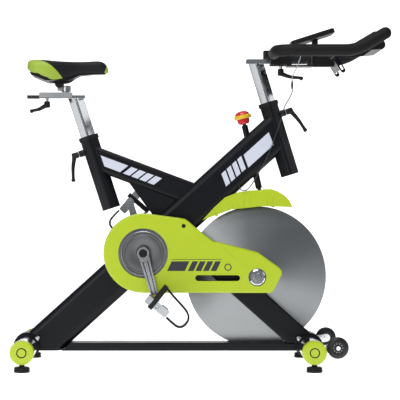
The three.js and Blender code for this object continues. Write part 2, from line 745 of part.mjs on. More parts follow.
// The bar's centre line from the middle of the cross piece to the tip of the left horn.
function handlebarLine() {
  const at = (x, y, z) => new THREE.Vector3(x, y, z);
  const tip = at(
    HORN_FROM_X + HORN_LONG * cos(HORN_SLOPE),
    HANDLEBAR_HALF,
    HANDLEBAR_Z + HORN_LONG * sin(HORN_SLOPE),
  );
  const corner = at(HANDLEBAR_X, HANDLEBAR_HALF, HANDLEBAR_Z);
  const horn = at(HORN_FROM_X, HANDLEBAR_HALF, HANDLEBAR_Z);
  const towards = (from, to, distance) =>
    from.clone().add(to.clone().sub(from).setLength(distance));
  const bend = (before, middle, after, reach) =>
    new THREE.QuadraticBezierCurve3(
      towards(middle, before, reach),
      middle,
      towards(middle, after, reach),
    ).getPoints(5);
  const start = at(HANDLEBAR_X, -1, HANDLEBAR_Z);
  const bends = [...bend(start, corner, horn, 55), ...bend(corner, horn, tip, 35)];
  return new PointLine([start, ...bends, tip]);
}

function swept(shape, path, steps, sides) {
  const options = { steps, extrudePath: path, bevelEnabled: false, curveSegments: sides / 2 };
  return solid(new THREE.ExtrudeGeometry(shape, options));
}

const barLine = handlebarLine();
const barSteps = barLine.points.length - 1;
const barHalf = swept(circle(HANDLEBAR_R), barLine, barSteps, 12);
piece("handlebar_tube", "blackPaint", barHalf.add(mirrored(barHalf)), barGroup);
const tip = new THREE.Matrix4()
  .makeRotationY(rad(-HORN_SLOPE))
  .setPosition(
    HORN_FROM_X + HORN_LONG * cos(HORN_SLOPE),
    HANDLEBAR_HALF,
    HANDLEBAR_Z + HORN_LONG * sin(HORN_SLOPE),
  );
const tipCap = put(
  solid(
    new THREE.LatheGeometry(
      [
        [0, GAP],
        [HANDLEBAR_R + 2, GAP],
        [HANDLEBAR_R + 2, -1.5],
        [GRIP_R, -1.5],
        [GRIP_R, 1],
        [GRIP_R * 0.8, GRIP_R * 0.6],
        [GRIP_R * 0.4, GRIP_R * 0.95],
        [0, GRIP_R],
      ].map(([r, y]) => new THREE.Vector2(r, y)),
      12,
    ),
  ).rotate([0, 0, -90]),
  tip,
);
const grip = swept(circle(GRIP_R), barLine, barSteps, 12)
  .subtract(swept(circle(HANDLEBAR_R + 2 * GAP), barLine, barSteps, 12))
  .trimByPlane([0, 1, 0], GRIP_FROM_Y)
  .add(tipCap);
piece("grip_left", "foam", grip, barGroup);
piece("grip_right", "foam", mirrored(grip), barGroup);

const [carriageX0, carriageX1, carriageZ0, carriageZ1] = BAR_CARRIAGE;
const railSpace = box(
  carriageX0 - 1,
  carriageX1 + 1,
  -railHalf,
  railHalf,
  carriageZ0 - 1,
  BAR_RAIL[3] + GAP,
);
const barCarriage = box(carriageX0, carriageX1, -30, 30, carriageZ0, carriageZ1)
  .subtract(railSpace)
  .add(box(carriageX0 - 22, carriageX0 + 1, -30, 30, BAR_RAIL[3] + 2, carriageZ1 - 4));
const barHole = rodY(HANDLEBAR_X, HANDLEBAR_Z, HANDLEBAR_R + 2 * GAP, -40, 40, 16);
const behindTray = put(box(-400, -17 - GAP, -300, 300, -300, 300), placing(...TRAY_LOW, -TRAY_SLOPE));
const consoleLine = placing(...CONSOLE_MIDDLE, -CONSOLE_SLOPE);
const underConsole = put(box(-300, 300, -200, 200, -400, -8 - GAP), consoleLine);
const accessoryArm = joined([
  box(BAR_SCREW_X + 18, ARM_FROM_X + 1, -30, 30, carriageZ0 - 4, carriageZ0 + 1),
  box(ARM_FROM_X, TRAY_LOW[0], -18, 18, carriageZ0 - 4, carriageZ0 + 26).intersect(behindTray),
  box(ARM_FROM_X, ARM_FROM_X + 18, -15, 15, carriageZ0, 1100).intersect(underConsole),
]);
piece("handlebar_carriage", "blackPlastic", barCarriage.subtract(barHole).add(accessoryArm), barGroup);

piece(
  "handlebar_slide_lever",
  "blackPlastic",
  lever(0, 22, [32, -70])
    .rotate([0, 90, 0])
    .rotate([0, 0, 180])
    .translate([BAR_SCREW_X, 0, carriageZ0 - 10 - GAP]),
  barGroup,
);

// The tray tilts up towards the front on two slotted ears; the console stands on a stalk behind it.
const trayLine = placing(...TRAY_LOW, -TRAY_SLOPE);
const earSlot = stadium(-9, 12, -9, 22, 3.5);
const ears = plate(stadium(-9, 6, -9, 46, 7.5), TRAY_EAR_Y, TRAY_EAR_Y + 3, 6).subtract(
  plate(earSlot, TRAY_EAR_Y - 1, TRAY_EAR_Y + 4, 6),
);
const trayPlate = box(-17, -14, -TRAY_EAR_Y - 2, TRAY_EAR_Y + 2, 12, 46);
piece("tray_bracket", "steel", put(joined([trayPlate, ears, mirrored(ears)]), trayLine), barGroup);

const trayRound = 16;
const traySide = new THREE.Shape();
traySide.moveTo(0, 0);
traySide.absarc(TRAY_LONG - trayRound, trayRound, trayRound, -Math.PI / 2, 0, false);
traySide.absarc(TRAY_LONG - trayRound, TRAY_DEEP - trayRound, trayRound, 0, Math.PI / 2, false);
traySide.lineTo(0, TRAY_DEEP);
const trayInside = [TRAY_WALL, TRAY_LONG - TRAY_WALL];
const trayHollow = box(
  ...trayInside,
  -TRAY_HALF + TRAY_WALL,
  TRAY_HALF - TRAY_WALL,
  trayRound,
  TRAY_DEEP + 1,
);
const tray = plate(traySide, -TRAY_HALF, TRAY_HALF, 5).subtract(trayHollow);
piece("accessory_tray", "blackPlastic", put(tray, trayLine), barGroup);

const consoleBody = alongZ(roundedRectangle(CONSOLE_LONG, CONSOLE_WIDE, 18), -8, 8, 4);
piece("console", "blackPlastic", put(consoleBody, consoleLine), barGroup);

// ---- Crank, pulleys and belt ----

const crankGroup = group(CRANK_X, 0, CRANK_Z, bike, CRANK_ANGLE);
const crankLine = placing(CRANK_X, CRANK_Z, CRANK_ANGLE);
const oppositeLine = placing(CRANK_X, CRANK_Z, CRANK_ANGLE + 180);
piece(
  "bottom_bracket",
  "steel",
  rodY(CRANK_X, CRANK_Z, CARTRIDGE_R, -SHELL_HALF, SHELL_HALF).subtract(
    rodY(CRANK_X, CRANK_Z, AXLE_R + RUNNING, -100, 100),
  ),
);

const pulleyOuterY = PULLEY_INNER_Y + PULLEY_WIDE;
const crankAxle = joined([
  rodY(0, 0, AXLE_R, -CRANK_INNER_Y - CRANK_THICK + 4, CRANK_INNER_Y + CRANK_THICK - 4),
  turned(0, 0, [
    [0, -PULLEY_INNER_Y - 4],
    [PULLEY_R - 8, -PULLEY_INNER_Y - 4],
    [PULLEY_R, -PULLEY_INNER_Y],
    [PULLEY_R, -pulleyOuterY],
    [PULLEY_R - 8, -pulleyOuterY + 4],
    [0, -pulleyOuterY + 4],
  ], 36),
]);
piece("drive_pulley", "steel", put(crankAxle, crankLine), crankGroup);

const discOuterY = GUARD_OUTER_Y - 6;
const crankDisc = turned(0, 0, [
  [AXLE_R + GAP, -discOuterY + 6],
  [DISC_R, -discOuterY + 6],
  [DISC_R, -discOuterY],
  [AXLE_R + GAP, -discOuterY],
], 32);
const standoffs = [0, 1, 2, 3].map((i) => {
  const angle = rad(17.7 - CRANK_ANGLE + 90 * i);
  return rodY(44 * Math.cos(angle), 44 * Math.sin(angle), 7, -discOuterY - 2, -pulleyOuterY + 4 - GAP, 10);
});
piece("crank_disc", "chrome", put(joined([crankDisc, ...standoffs]), crankLine), crankGroup);

// A crank arm hangs down from the axle and holds the pedal's spindle.
const crankOuterY = CRANK_INNER_Y + CRANK_THICK;
const armOutline = polygon([
  [-17, 0],
  [-10, -CRANK_LONG],
  [10, -CRANK_LONG],
  [17, 0],
]);
const spindleEnd = PEDAL_MIDDLE_Y + PEDAL_HALF_WIDE - 4;
const arm = joined([
  plate(armOutline, CRANK_INNER_Y, crankOuterY),
  rodY(0, 0, 20, CRANK_INNER_Y - 4, crankOuterY, 20),
  rodY(0, -CRANK_LONG, 14, CRANK_INNER_Y, crankOuterY, 16),
])
  .subtract(rodY(0, 0, AXLE_R + GAP, 0, crankOuterY - 3))
  .add(rodY(0, -CRANK_LONG, PEDAL_SPINDLE_R, CRANK_INNER_Y - 2, spindleEnd, 12))
  .add(rodY(0, -CRANK_LONG, 9, crankOuterY - 1, crankOuterY + 4, 6));
piece("crank_arm_right", "chrome", put(mirrored(arm), crankLine), crankGroup);
piece("crank_arm_left", "chrome", put(arm, oppositeLine), crankGroup);

const flywheelGroup = group(FLYWHEEL_X, 0, FLYWHEEL_Z);
const flywheel = turned(FLYWHEEL_X, FLYWHEEL_Z, [
  [FLYWHEEL_AXLE_R + GAP, -FLYWHEEL_HUB_HALF],
  [FLYWHEEL_HUB_R - 4, -FLYWHEEL_HUB_HALF],
  [FLYWHEEL_HUB_R, -FLYWHEEL_THICK / 2],
  [FLYWHEEL_R, -FLYWHEEL_THICK / 2],
  [FLYWHEEL_R, FLYWHEEL_THICK / 2],
  [FLYWHEEL_HUB_R, FLYWHEEL_THICK / 2],
  [FLYWHEEL_HUB_R - 4, FLYWHEEL_HUB_HALF],
  [FLYWHEEL_AXLE_R + GAP, FLYWHEEL_HUB_HALF],
], 48);
piece("flywheel", "steel", flywheel, flywheelGroup);
const capBack = GUARD_OUTER_Y - 11;
const capR2 = 26;
piece(
  "flywheel_axle",
  "chrome",
  joined([
    rodY(FLYWHEEL_X, FLYWHEEL_Z, FLYWHEEL_AXLE_R, -capBack - 2, LEG_INNER_Y + LEG_WIDE + 3),
    rodY(FLYWHEEL_X, FLYWHEEL_Z, SMALL_PULLEY_R, -pulleyOuterY, -PULLEY_INNER_Y, 32),
    turned(FLYWHEEL_X, FLYWHEEL_Z, [
      [0, -capBack],
      [capR2, -capBack],
      [capR2, -capBack - 10],
      [capR2 - 4, -capBack - 13],
      [14, -capBack - 13],
      [12, -capBack - 9],
      [0, -capBack - 9],
    ], 22),
    rodY(FLYWHEEL_X, FLYWHEEL_Z, 10, -capBack - 14, -capBack - 8, 6),
  ]),
  flywheelGroup,
);
const bearing = rodY(FLYWHEEL_X, FLYWHEEL_Z, BEARING_R, legMiddleY - 6, legMiddleY + 6).subtract(
  rodY(FLYWHEEL_X, FLYWHEEL_Z, FLYWHEEL_AXLE_R + RUNNING, 0, 100),
);
piece("flywheel_bearing_left", "steel", bearing);
piece("flywheel_bearing_right", "steel", mirrored(bearing));

// The belt's outline: two arcs joined by the straight runs that touch both pulleys.
function beltLoop(grow) {
  const away = new THREE.Vector2(FLYWHEEL_X - CRANK_X, FLYWHEEL_Z - CRANK_Z);
  const turn = away.angle();
  const lean = Math.acos((PULLEY_R - SMALL_PULLEY_R) / away.length());
  const points = [];
  const arc = (x, z, radius, from, to, steps) => {
    for (let i = 0; i <= steps; i++) {
      const angle = from + ((to - from) * i) / steps;
      points.push([x + radius * Math.cos(angle), z + radius * Math.sin(angle)]);
    }
  };
  arc(CRANK_X, CRANK_Z, PULLEY_R + grow, turn + lean, turn + 2 * Math.PI - lean, 40);
  arc(FLYWHEEL_X, FLYWHEEL_Z, SMALL_PULLEY_R + grow, turn - lean, turn + lean, 16);
  return points;
}
const beltShape = polygon(beltLoop(0.5 + BELT_THICK));
beltShape.holes.push(polygon(beltLoop(0.5)));
piece("drive_belt", "rubber", plate(beltShape, -pulleyOuterY + 1, -PULLEY_INNER_Y - 1));

// ---- Guard over the drive ----

function guardOutline() {
  const points = [];
  for (let angle = 82; angle <= 270; angle += 7.83) {
    points.push([CRANK_X + GUARD_R * cos(angle), CRANK_Z + GUARD_R * sin(angle)]);
  }
  const right = FLYWHEEL_X;
  const low = CRANK_Z - GUARD_R;
  points.push([CRANK_X, low]);
  points.push(
    [right + 42, low],
    [right + 50, low + 4],
    [right + 55, low + 11],
    [right + 79, low + 59],
    [right + 80, low + 70],
    [right + 70, low + 83],
    [right + 2, low + 131],
    [right - 133, low + 166],
    [right - 141, low + 166],
    [right - 180, low + 195],
    [right - 220, low + 230],
    [right - 232, low + 238],
    [right - 248, low + 241],
  );
  return points;
}
const outline = guardOutline();
const slot = stadium(-9, 286, 116, 286, 9.5);
const holes = joined([
  rodY(CRANK_X, CRANK_Z, DISC_R + 6, -90, -75, 40),
  rodY(FLYWHEEL_X, FLYWHEEL_Z, capR2 + 3, -90, -75, 28),
  plate(slot, -90, -40, 8),
]);
const guard = plate(polygon(outline), -GUARD_OUTER_Y, -GUARD_INNER_Y)
  .subtract(
    plate(polygon(inset(outline, GUARD_WALL)), -GUARD_OUTER_Y + GUARD_WALL, -GUARD_INNER_Y + 1),
  )
  .subtract(holes);
piece("drive_guard", "lime", guard);
const guardBack = plate(polygon(outline), -GUARD_INNER_Y + GAP, -GUARD_INNER_Y + 3).subtract(
  joined([
    rodY(CRANK_X, CRANK_Z, AXLE_R + 5, -90, 0, 20),
    rodY(FLYWHEEL_X, FLYWHEEL_Z, FLYWHEEL_AXLE_R + 4, -90, 0, 20),
    plate(slot, -90, -40, 8),
  ]),
);
piece("guard_back", "blackPlastic", guardBack);

// ---- Pedals with toe clips and straps ----

const rightEye = new THREE.Vector3(0, 0, -CRANK_LONG).applyMatrix4(crankLine);
const leftEye = new THREE.Vector3(0, 0, -CRANK_LONG).applyMatrix4(oppositeLine);
const pedalBody = joined([
  plate(
    roundedRectangle(2 * PEDAL_HALF_LONG, 2 * PEDAL_HALF_THICK, 4),
    -PEDAL_HALF_WIDE,
    PEDAL_HALF_WIDE,
    3,
  )
    .subtract(box(12, PEDAL_HALF_LONG - 8, -34, 34, -20, 20))
    .subtract(box(-PEDAL_HALF_LONG + 8, -12, -34, 34, -20, 20)),
]).subtract(rodY(0, 0, PEDAL_SPINDLE_R + RUNNING, -60, 60, 16));
const CLIP_LINE = [
  [PEDAL_HALF_LONG - 4, -10],
  [70, -11],
  [92, -11],
  [104, 0],
  [107, 18],
  [101, 36],
  [84, 46],
  [55, 51],
  [18, 57],
  [-15, 64],
];
const strapLoop = roundedRectangle(2 * PEDAL_HALF_WIDE + 10, 88, 14);
strapLoop.holes.push(roundedRectangle(2 * PEDAL_HALF_WIDE + 4, 82, 11));
const clip = plate(polygon(ribbon(CLIP_LINE, 4)), -22, 22);
const strap = alongZ(strapLoop, -22, -8, 4)
  .rotate([90, 0, 90])
  .translate([0, 0, 23.5]);
const pedalSpace = box(
  -PEDAL_HALF_LONG - 9,
  PEDAL_HALF_LONG + GAP,
  -PEDAL_HALF_WIDE - GAP,
  PEDAL_HALF_WIDE + GAP,
  -PEDAL_HALF_THICK - GAP,
  PEDAL_HALF_THICK + GAP,
);
const clipAndStrap = clip.add(strap).subtract(pedalSpace);
for (const [side, eye, sign, tilt] of [
  ["right", rightEye, -1, 39],
  ["left", leftEye, 1, 131],
]) {
  const line = placing(eye.x, eye.z, tilt, sign * PEDAL_MIDDLE_Y);
  const parent = group(eye.x, sign * PEDAL_MIDDLE_Y, eye.z, bike, tilt);
  piece(`pedal_${side}`, "steel", put(pedalBody, line), parent);
  piece(`toe_clip_${side}`, "blackPlastic", put(clipAndStrap, line), parent);
}

// ---- Brake: knob, plunger and the shroud round the pad ----

const brakeGroup = group(BRAKE_TOP[0], 0, BRAKE_TOP[1], bike, -BRAKE_LEAN);
const knobProfile = [
  [0, 32],
  [BRAKE_ROD_R + GAP, 32],
  [BRAKE_ROD_R + GAP, 0],
  [15, 0],
  [19, 4],
  [20, 15],
  [27, 17],
  [28.5, 23],
  [27, 30],
  [23, 32],
  [18, 38],
  [9, 43],
  [0, 44],
];
const knob = solid(
  new THREE.LatheGeometry(knobProfile.map(([r, z]) => new THREE.Vector2(r, z + KNOB_FROM)), 20),
).rotate([90, 0, 0]);
piece("resistance_knob", "red", put(knob, brakeLine), brakeGroup);

const padAngle = 84.2;
const padShape = new THREE.Shape();
const padInner = FLYWHEEL_R + BRAKE_PAD_GAP;
padShape.absarc(FLYWHEEL_X, FLYWHEEL_Z, padInner + 13, rad(padAngle - 9), rad(padAngle + 9), false);
padShape.absarc(FLYWHEEL_X, FLYWHEEL_Z, padInner, rad(padAngle + 9), rad(padAngle - 9), true);
const padDown = (BRAKE_TOP[1] - FLYWHEEL_Z - padInner) / cos(BRAKE_LEAN);
piece(
  "brake_plunger",
  "blackPaint",
  joined([
    brakeRod(BRAKE_ROD_R, -KNOB_FROM - 31.5, padDown - 8),
    brakeRod(11, padDown - 26, padDown - 6),
    plate(padShape, -14, 14, 6),
  ]),
  brakeGroup,
);

const SHROUD_SIDE = [
  [6, 472],
  [100, 506],
  [202, 517],
  [298, 513.5],
  [289, 534],
  [273, 551],
  [252, 564],
  [231, 572],
  [206, 572],
  [199, 569],
  [160, 568],
  [118, 561],
  [79, 545],
  [42, 511],
];
const shroudInside = plate(polygon(inset(SHROUD_SIDE, 3)), -SHROUD_HALF + 3, SHROUD_HALF - 3);
const shroud = plate(polygon(SHROUD_SIDE), -SHROUD_HALF, SHROUD_HALF)
  .subtract(shroudInside)
  .subtract(shroudInside.translate([0, 0, -4]))
  .subtract(shroudInside.translate([0, 0, -8]))
  .subtract(beamEnvelope)
  .subtract(brakeRod(BRAKE_ROD_R + 2, 150, 230));
piece("flywheel_shroud", "lime", shroud);

// ---- The sensor lead, in two lengths that meet at a plug in mid-air ----

const LEAD_R = 1.6;
const LOWER_LEAD = [
  [126, -34, 583],
  [127, -37, 574],
  [135, -38, 568],
  [148, -38, 569],
  [160, -37, 580],
  [170, -36, 594],
  [180, -36, 611],
  [192, -36, 632],
  [208, -36, 661],
  [224, -36, 695],
  [236, -37, 726],
  [246, -37, 755],
  [256, -34, 784],
  [265, -28, 812],
  [274, -22, 842],
  [289, -18, 868],
  [298, -16, 888],
  [298, -16, 896],
];
const UPPER_LEAD = [
  [298, -16, 926],
  [298, -17, 934],
  [305, -26, 952],
  [314, -35, 972],
  [322, -37, 995],
  [327, -34, 1018],
  [329, -28, 1036],
  [330, -24, 1043.5],
];
function lead(points) {
  const curve = new THREE.CatmullRomCurve3(points.map((p) => new THREE.Vector3(...p)));
  const length = curve.getLength();
  return swept(circle(LEAD_R), curve, Math.ceil(length / (6 * LEAD_R)), 8);
}
piece("sensor_lead", "rubber", lead(LOWER_LEAD));
piece("console_lead", "rubber", lead(UPPER_LEAD), barGroup);
const plugFrom = new THREE.Vector3(...LOWER_LEAD[LOWER_LEAD.length - 1]);
const plugTo = new THREE.Vector3(...UPPER_LEAD[0]);
const plugAxis = plugTo.clone().sub(plugFrom);
const plugTurn = new THREE.Quaternion().setFromUnitVectors(
  new THREE.Vector3(0, 0, 1),
  plugAxis.clone().normalize(),
);
const plugPlace = new THREE.Matrix4().makeRotationFromQuaternion(plugTurn).setPosition(plugFrom);
piece(
  "lead_plug",
  "blackPlastic",
  put(alongZ(circle(4), GAP, plugAxis.length() - GAP, 12), plugPlace),
  headPostGroup,
);

export default bike;
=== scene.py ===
import math

import bmesh
import bpy
from mathutils import Matrix, Vector


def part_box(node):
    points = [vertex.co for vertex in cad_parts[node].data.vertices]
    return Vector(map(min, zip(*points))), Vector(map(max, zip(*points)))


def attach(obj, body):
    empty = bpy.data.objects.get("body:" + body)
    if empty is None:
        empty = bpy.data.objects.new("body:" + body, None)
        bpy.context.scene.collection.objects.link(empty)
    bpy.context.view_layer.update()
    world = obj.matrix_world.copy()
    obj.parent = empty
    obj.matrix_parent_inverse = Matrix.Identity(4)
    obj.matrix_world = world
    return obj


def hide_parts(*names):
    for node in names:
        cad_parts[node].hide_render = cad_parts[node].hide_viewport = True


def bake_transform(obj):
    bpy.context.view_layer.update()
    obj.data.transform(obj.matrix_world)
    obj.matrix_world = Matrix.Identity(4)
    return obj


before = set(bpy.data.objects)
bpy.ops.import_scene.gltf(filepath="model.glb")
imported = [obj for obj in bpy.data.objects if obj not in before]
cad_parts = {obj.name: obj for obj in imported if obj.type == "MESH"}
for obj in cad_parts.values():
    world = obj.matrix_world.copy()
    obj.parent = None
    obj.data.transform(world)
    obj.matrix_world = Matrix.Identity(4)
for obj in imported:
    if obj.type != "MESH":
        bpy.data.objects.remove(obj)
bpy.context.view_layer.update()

# ---------------------------------------------------------------------------------------------
# Studio: a level long-lens camera square on to the drive side, two large soft lights above, a low
# card light at each side and a dim room, on a plain white floor that curves up into a wall.

camera = bpy.data.objects.new("camera", bpy.data.cameras.new("camera"))
bpy.context.collection.objects.link(camera)
camera.location = (-0.122, -5.38, 0.553)
camera.rotation_euler = (math.radians(90), 0, 0)
camera.data.lens = 148.4
camera.data.sensor_width = 36
camera.data.shift_x = 0.0925
camera.data.shift_y = -0.0125
camera.data.clip_end = 60
bpy.context.scene.camera = camera


def soft_light(name, place, aim, size, power):
    """A square area light that looks from its place towards a point."""
    data = bpy.data.lights.new(name, "AREA")
    data.size = size
    data.energy = power
    light = bpy.data.objects.new(name, data)
    bpy.context.collection.objects.link(light)
    light.location = place
    light.rotation_euler = (Vector(aim) - Vector(place)).to_track_quat("-Z", "Y").to_euler()


soft_light("top_light", (-0.5, -1.3, 3.2), (0, 0, 0.5), 1.9, 52)
soft_light("front_light", (-2.6, -4.6, 1.9), (0, 0, 0.5), 2.4, 62)
soft_light("left_light", (-3.2, -0.1, 0.1), (-0.4, 0, 0.7), 1.7, 6.5)
soft_light("right_light", (2.9, -0.1, 1.8), (0, 0, 0.8), 1.7, 8)

world = bpy.data.worlds.new("studio_grey")
bpy.context.scene.world = world
world.use_nodes = True
backdrop = world.node_tree.nodes["Background"]
backdrop.inputs["Color"].default_value = (0.9, 0.95, 1, 1)
backdrop.inputs["Strength"].default_value = 0.2
bpy.context.scene.view_settings.view_transform = "Standard"

# The floor curves up behind the object into a wall, and both are lit from within to plain white.
FLOOR_NEAR, FLOOR_FAR, SWEEP_R, WALL_TOP, SWEEP_HALF = -3.2, 2.4, 1.2, 4.2, 1.9
sweep_line = [(FLOOR_NEAR, 0), (FLOOR_FAR, 0)]
for degrees in range(10, 91, 10):
    turn = math.radians(degrees)
    sweep_line.append((FLOOR_FAR + SWEEP_R * math.sin(turn), SWEEP_R - SWEEP_R * math.cos(turn)))
sweep_line.append((FLOOR_FAR + SWEEP_R, WALL_TOP))
sweep_points = [(x, y, z) for y, z in sweep_line for x in (-SWEEP_HALF, SWEEP_HALF)]
sweep_faces = [(i, i + 1, i + 3, i + 2) for i in range(0, len(sweep_points) - 2, 2)]
floor_mesh = bpy.data.meshes.new("floor_and_wall")
floor_mesh.from_pydata(sweep_points, [], sweep_faces)
floor = bpy.data.objects.new("floor_and_wall", floor_mesh)
bpy.context.collection.objects.link(floor)
white_sweep = bpy.data.materials.new("white_sweep")
white_sweep.use_nodes = True
sweep_surface = white_sweep.node_tree.nodes["Principled BSDF"]
sweep_surface.inputs["Base Color"].default_value = (0.9, 0.9, 0.9, 1)
sweep_surface.inputs["Roughness"].default_value = 0.9
sweep_surface.inputs["Emission Color"].default_value = (1, 1, 1, 1)
sweep_surface.inputs["Emission Strength"].default_value = 0.78
floor.data.materials.append(white_sweep)

# ---------------------------------------------------------------------------------------------
# Leads: a thin round signal lead runs from the sensor under the main beam up its near side to a
# plug, and a second one from the plug to the console. Both are soft sheathed wire, clipped only
# at their ends, so they stand off the frame in easy curves.


class Value:
    """A node's output, which Python's operators combine through Math nodes."""

    def __init__(self, tree, socket):
        self.tree = tree
        self.socket = socket

    def math(self, operation, first, second):
        """A Math node on two values, each a number or another node's output."""
        made = self.tree.nodes.new("ShaderNodeMath")
        made.operation = operation
        for place, value in enumerate((first, second)):
            if isinstance(value, Value):
                self.tree.links.new(value.socket, made.inputs[place])
            else:
                made.inputs[place].default_value = value
        return Value(self.tree, made.outputs[0])

    def __add__(self, other):
        return self.math("ADD", self, other)

    __radd__ = __add__

    def __mul__(self, other):
        return self.math("MULTIPLY", self, other)

    __rmul__ = __mul__

    def __sub__(self, other):
        return self.math("SUBTRACT", self, other)

    def __rsub__(self, other):
        return self.math("SUBTRACT", other, self)

    def __truediv__(self, other):
        return self.math("DIVIDE", self, other)

    def __rtruediv__(self, other):
        return self.math("DIVIDE", other, self)

    def __pow__(self, other):
        return self.math("POWER", self, other)

    def __gt__(self, other):
        return self.math("GREATER_THAN", self, other)

    def __lt__(self, other):
        return self.math("LESS_THAN", self, other)

    def __abs__(self):
        return self.math("ABSOLUTE", self, 0)

    def at_least(self, other):
        return self.math("MAXIMUM", self, other)

    def at_most(self, other):
        return self.math("MINIMUM", self, other)


class Finish:
    """One material, whose nodes are made by node() and whose surface is set by feed()."""

    def __init__(self, name, colour, roughness, metallic=0.0, coat=0.0, shine=0.5):
        self.material = bpy.data.materials.new(name)
        self.material.use_nodes = True
        self.tree = self.material.node_tree
        self.surface = self.tree.nodes["Principled BSDF"]
        for socket, value in (
            ("Base Color", (*colour, 1)),
            ("Roughness", roughness),
            ("Metallic", metallic),
            ("Coat Weight", coat),
            ("Specular IOR Level", shine),
        ):
            self.surface.inputs[socket].default_value = value

    def node(self, kind, settings=None, sockets=None, output=0):
        """Any other node, with its settings, its sockets fed by numbers or outputs, and one output."""
        made = self.tree.nodes.new(kind)
        for setting, value in (settings or {}).items():
            setattr(made, setting, value)
        for socket, value in (sockets or {}).items():
            if isinstance(value, Value):
                self.tree.links.new(value.socket, made.inputs[socket])
            else:
                made.inputs[socket].default_value = value
        return Value(self.tree, made.outputs[output])

    def place(self):
        """The point on the piece, in metres, which is the frame's own."""
        return self.node("ShaderNodeTexCoord", output="Object")

    def axes(self):
        """The x, y and z of the point on the piece."""
        split = self.tree.nodes.new("ShaderNodeSeparateXYZ")
        self.tree.links.new(self.place().socket, split.inputs[0])
        return [Value(self.tree, split.outputs[i]) for i in range(3)]

    def noise(self, size, detail=2.0, stretch=(1, 1, 1)):
        """Soft noise whose features are about size metres, longer where stretch is small."""
        ends = {0: self.place(), 1: stretch}
        scaled = self.node("ShaderNodeVectorMath", {"operation": "MULTIPLY"}, ends)
        sockets = {"Vector": scaled, "Scale": 1 / size, "Detail": detail}
        return self.node("ShaderNodeTexNoise", sockets=sockets, output="Fac")

    def mix(self, mask, first, second):
        """The first colour where mask is 0 and the second where it is 1."""
        ends = [value if isinstance(value, Value) else (*value, 1) for value in (first, second)]
        sockets = {0: mask, 6: ends[0], 7: ends[1]}
        return self.node("ShaderNodeMix", {"data_type": "RGBA"}, sockets, output=2)

    def feed(self, socket, value):
        """Feeds a varying value to a socket of the surface."""
        self.tree.links.new(value.socket, self.surface.inputs[socket])
        return self

    def relief(self, height, depth):
        """Raises the surface by height, which runs from 0 to 1, times depth in metres."""
        sockets = {"Height": height, "Distance": depth, "Strength": 1.0}
        return self.feed("Normal", self.node("ShaderNodeBump", sockets=sockets))


def grained(name, colour, roughness, metallic=0.0, coat=0.0, shine=0.5, grain=0.001,
            depth=0.00005, wear=0.05, tone=0.12, stretch=(1, 1, 1)):
    """A finish with a fine grain, patchy gloss and a slight drift of tone over the piece."""
    made = Finish(name, colour, roughness, metallic, coat, shine)
    patches = made.noise(0.05, 3)
    made.feed("Roughness", (patches - 0.5) * (2 * wear) + roughness)
    shades = [[min(1, part * (1 + side * tone)) for part in colour] for side in (-1, 1)]
    made.feed("Base Color", made.mix(patches, shades[0], shades[1]))
    made.relief(made.noise(grain, 2, stretch), depth)
    return made


def added(name, mesh, finish, body, nodes=()):
    """A finished piece: in the scene, on its body, in place of the frame's plain solids."""
    piece = bpy.data.objects.new(name, mesh)
    bpy.context.collection.objects.link(piece)
    mesh.materials.clear()
    mesh.materials.append(finish.material)
    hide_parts(*nodes)
    if body:
        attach(piece, body)
    return piece


def smoothed(mesh, angle=35):
    """The mesh with smooth shading, apart from edges sharper than angle degrees."""
    for face in mesh.polygons:
        face.use_smooth = True
    mesh.set_sharp_from_angle(angle=math.radians(angle))
    return mesh


def curved(points, steps=8):
    """Points along a smooth curve that passes through the given ones."""
    knots = [Vector(point) for point in points]
    knots = [2 * knots[0] - knots[1], *knots, 2 * knots[-1] - knots[-2]]
    line = []
    for i in range(1, len(knots) - 2):
        a, b, c, d = knots[i - 1 : i + 3]
        for step in range(steps):
            t = step / steps
            line.append(
                0.5 * (2 * b + (c - a) * t + (2 * a - 5 * b + 4 * c - d) * t * t
                       + (3 * b - a - 3 * c + d) * t ** 3)
            )
    return [*line, knots[-2]]


def swept(name, line, radii, sides=20):
    """A round closed tube along a line, with a radius at each point of it."""
    mesh = bmesh.new()
    rings = []
    normal = None
    for i, point in enumerate(line):
        ahead = (line[min(i + 1, len(line) - 1)] - line[max(i - 1, 0)]).normalized()
        if normal is None:
            normal = ahead.orthogonal().normalized()
        normal = (normal - ahead * normal.dot(ahead)).normalized()
        across = ahead.cross(normal)
        ring = []
        for side in range(sides):
            angle = 2 * math.pi * side / sides
            offset = normal * math.cos(angle) + across * math.sin(angle)
            ring.append(mesh.verts.new(point + offset * radii[i]))
        rings.append(ring)
    for first, second in zip(rings, rings[1:]):
        for side in range(sides):
            after = (side + 1) % sides
            mesh.faces.new((first[side], first[after], second[after], second[side]))
    mesh.faces.new(rings[0][::-1])
    mesh.faces.new(rings[-1])
    bmesh.ops.recalc_face_normals(mesh, faces=mesh.faces)
    made = bpy.data.meshes.new(name)
    mesh.to_mesh(made)
    return smoothed(made, 50)


MM = 0.001
LEAD_R = 1.6 * MM
LOWER_LEAD = [
    (126, -34, 583), (127, -37, 574), (135, -38, 568), (148, -38, 569), (160, -37, 580),
    (170, -36, 594), (180, -36, 611), (192, -36, 632), (208, -36, 661), (224, -36, 695),
    (236, -37, 726), (246, -37, 755), (256, -34, 784), (265, -28, 812), (274, -22, 842),
    (289, -18, 868), (298, -16, 888), (298, -16, 896),
]
UPPER_LEAD = [
    (298, -16, 926), (298, -17, 934), (305, -26, 952), (314, -35, 972), (322, -37, 995),
    (327, -34, 1018), (329, -28, 1036), (330, -24, 1043.5),
]
dark_sheath = grained("dark_lead_sheath", (0.03, 0.03, 0.034), 0.5, grain=0.0006)
grey_sheath = grained("grey_lead_sheath", (0.36, 0.37, 0.38), 0.5, grain=0.0006)
plug_body = grained("plug_plastic", (0.05, 0.055, 0.07), 0.4, grain=0.0004)
plug_low, plug_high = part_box("lead_plug")
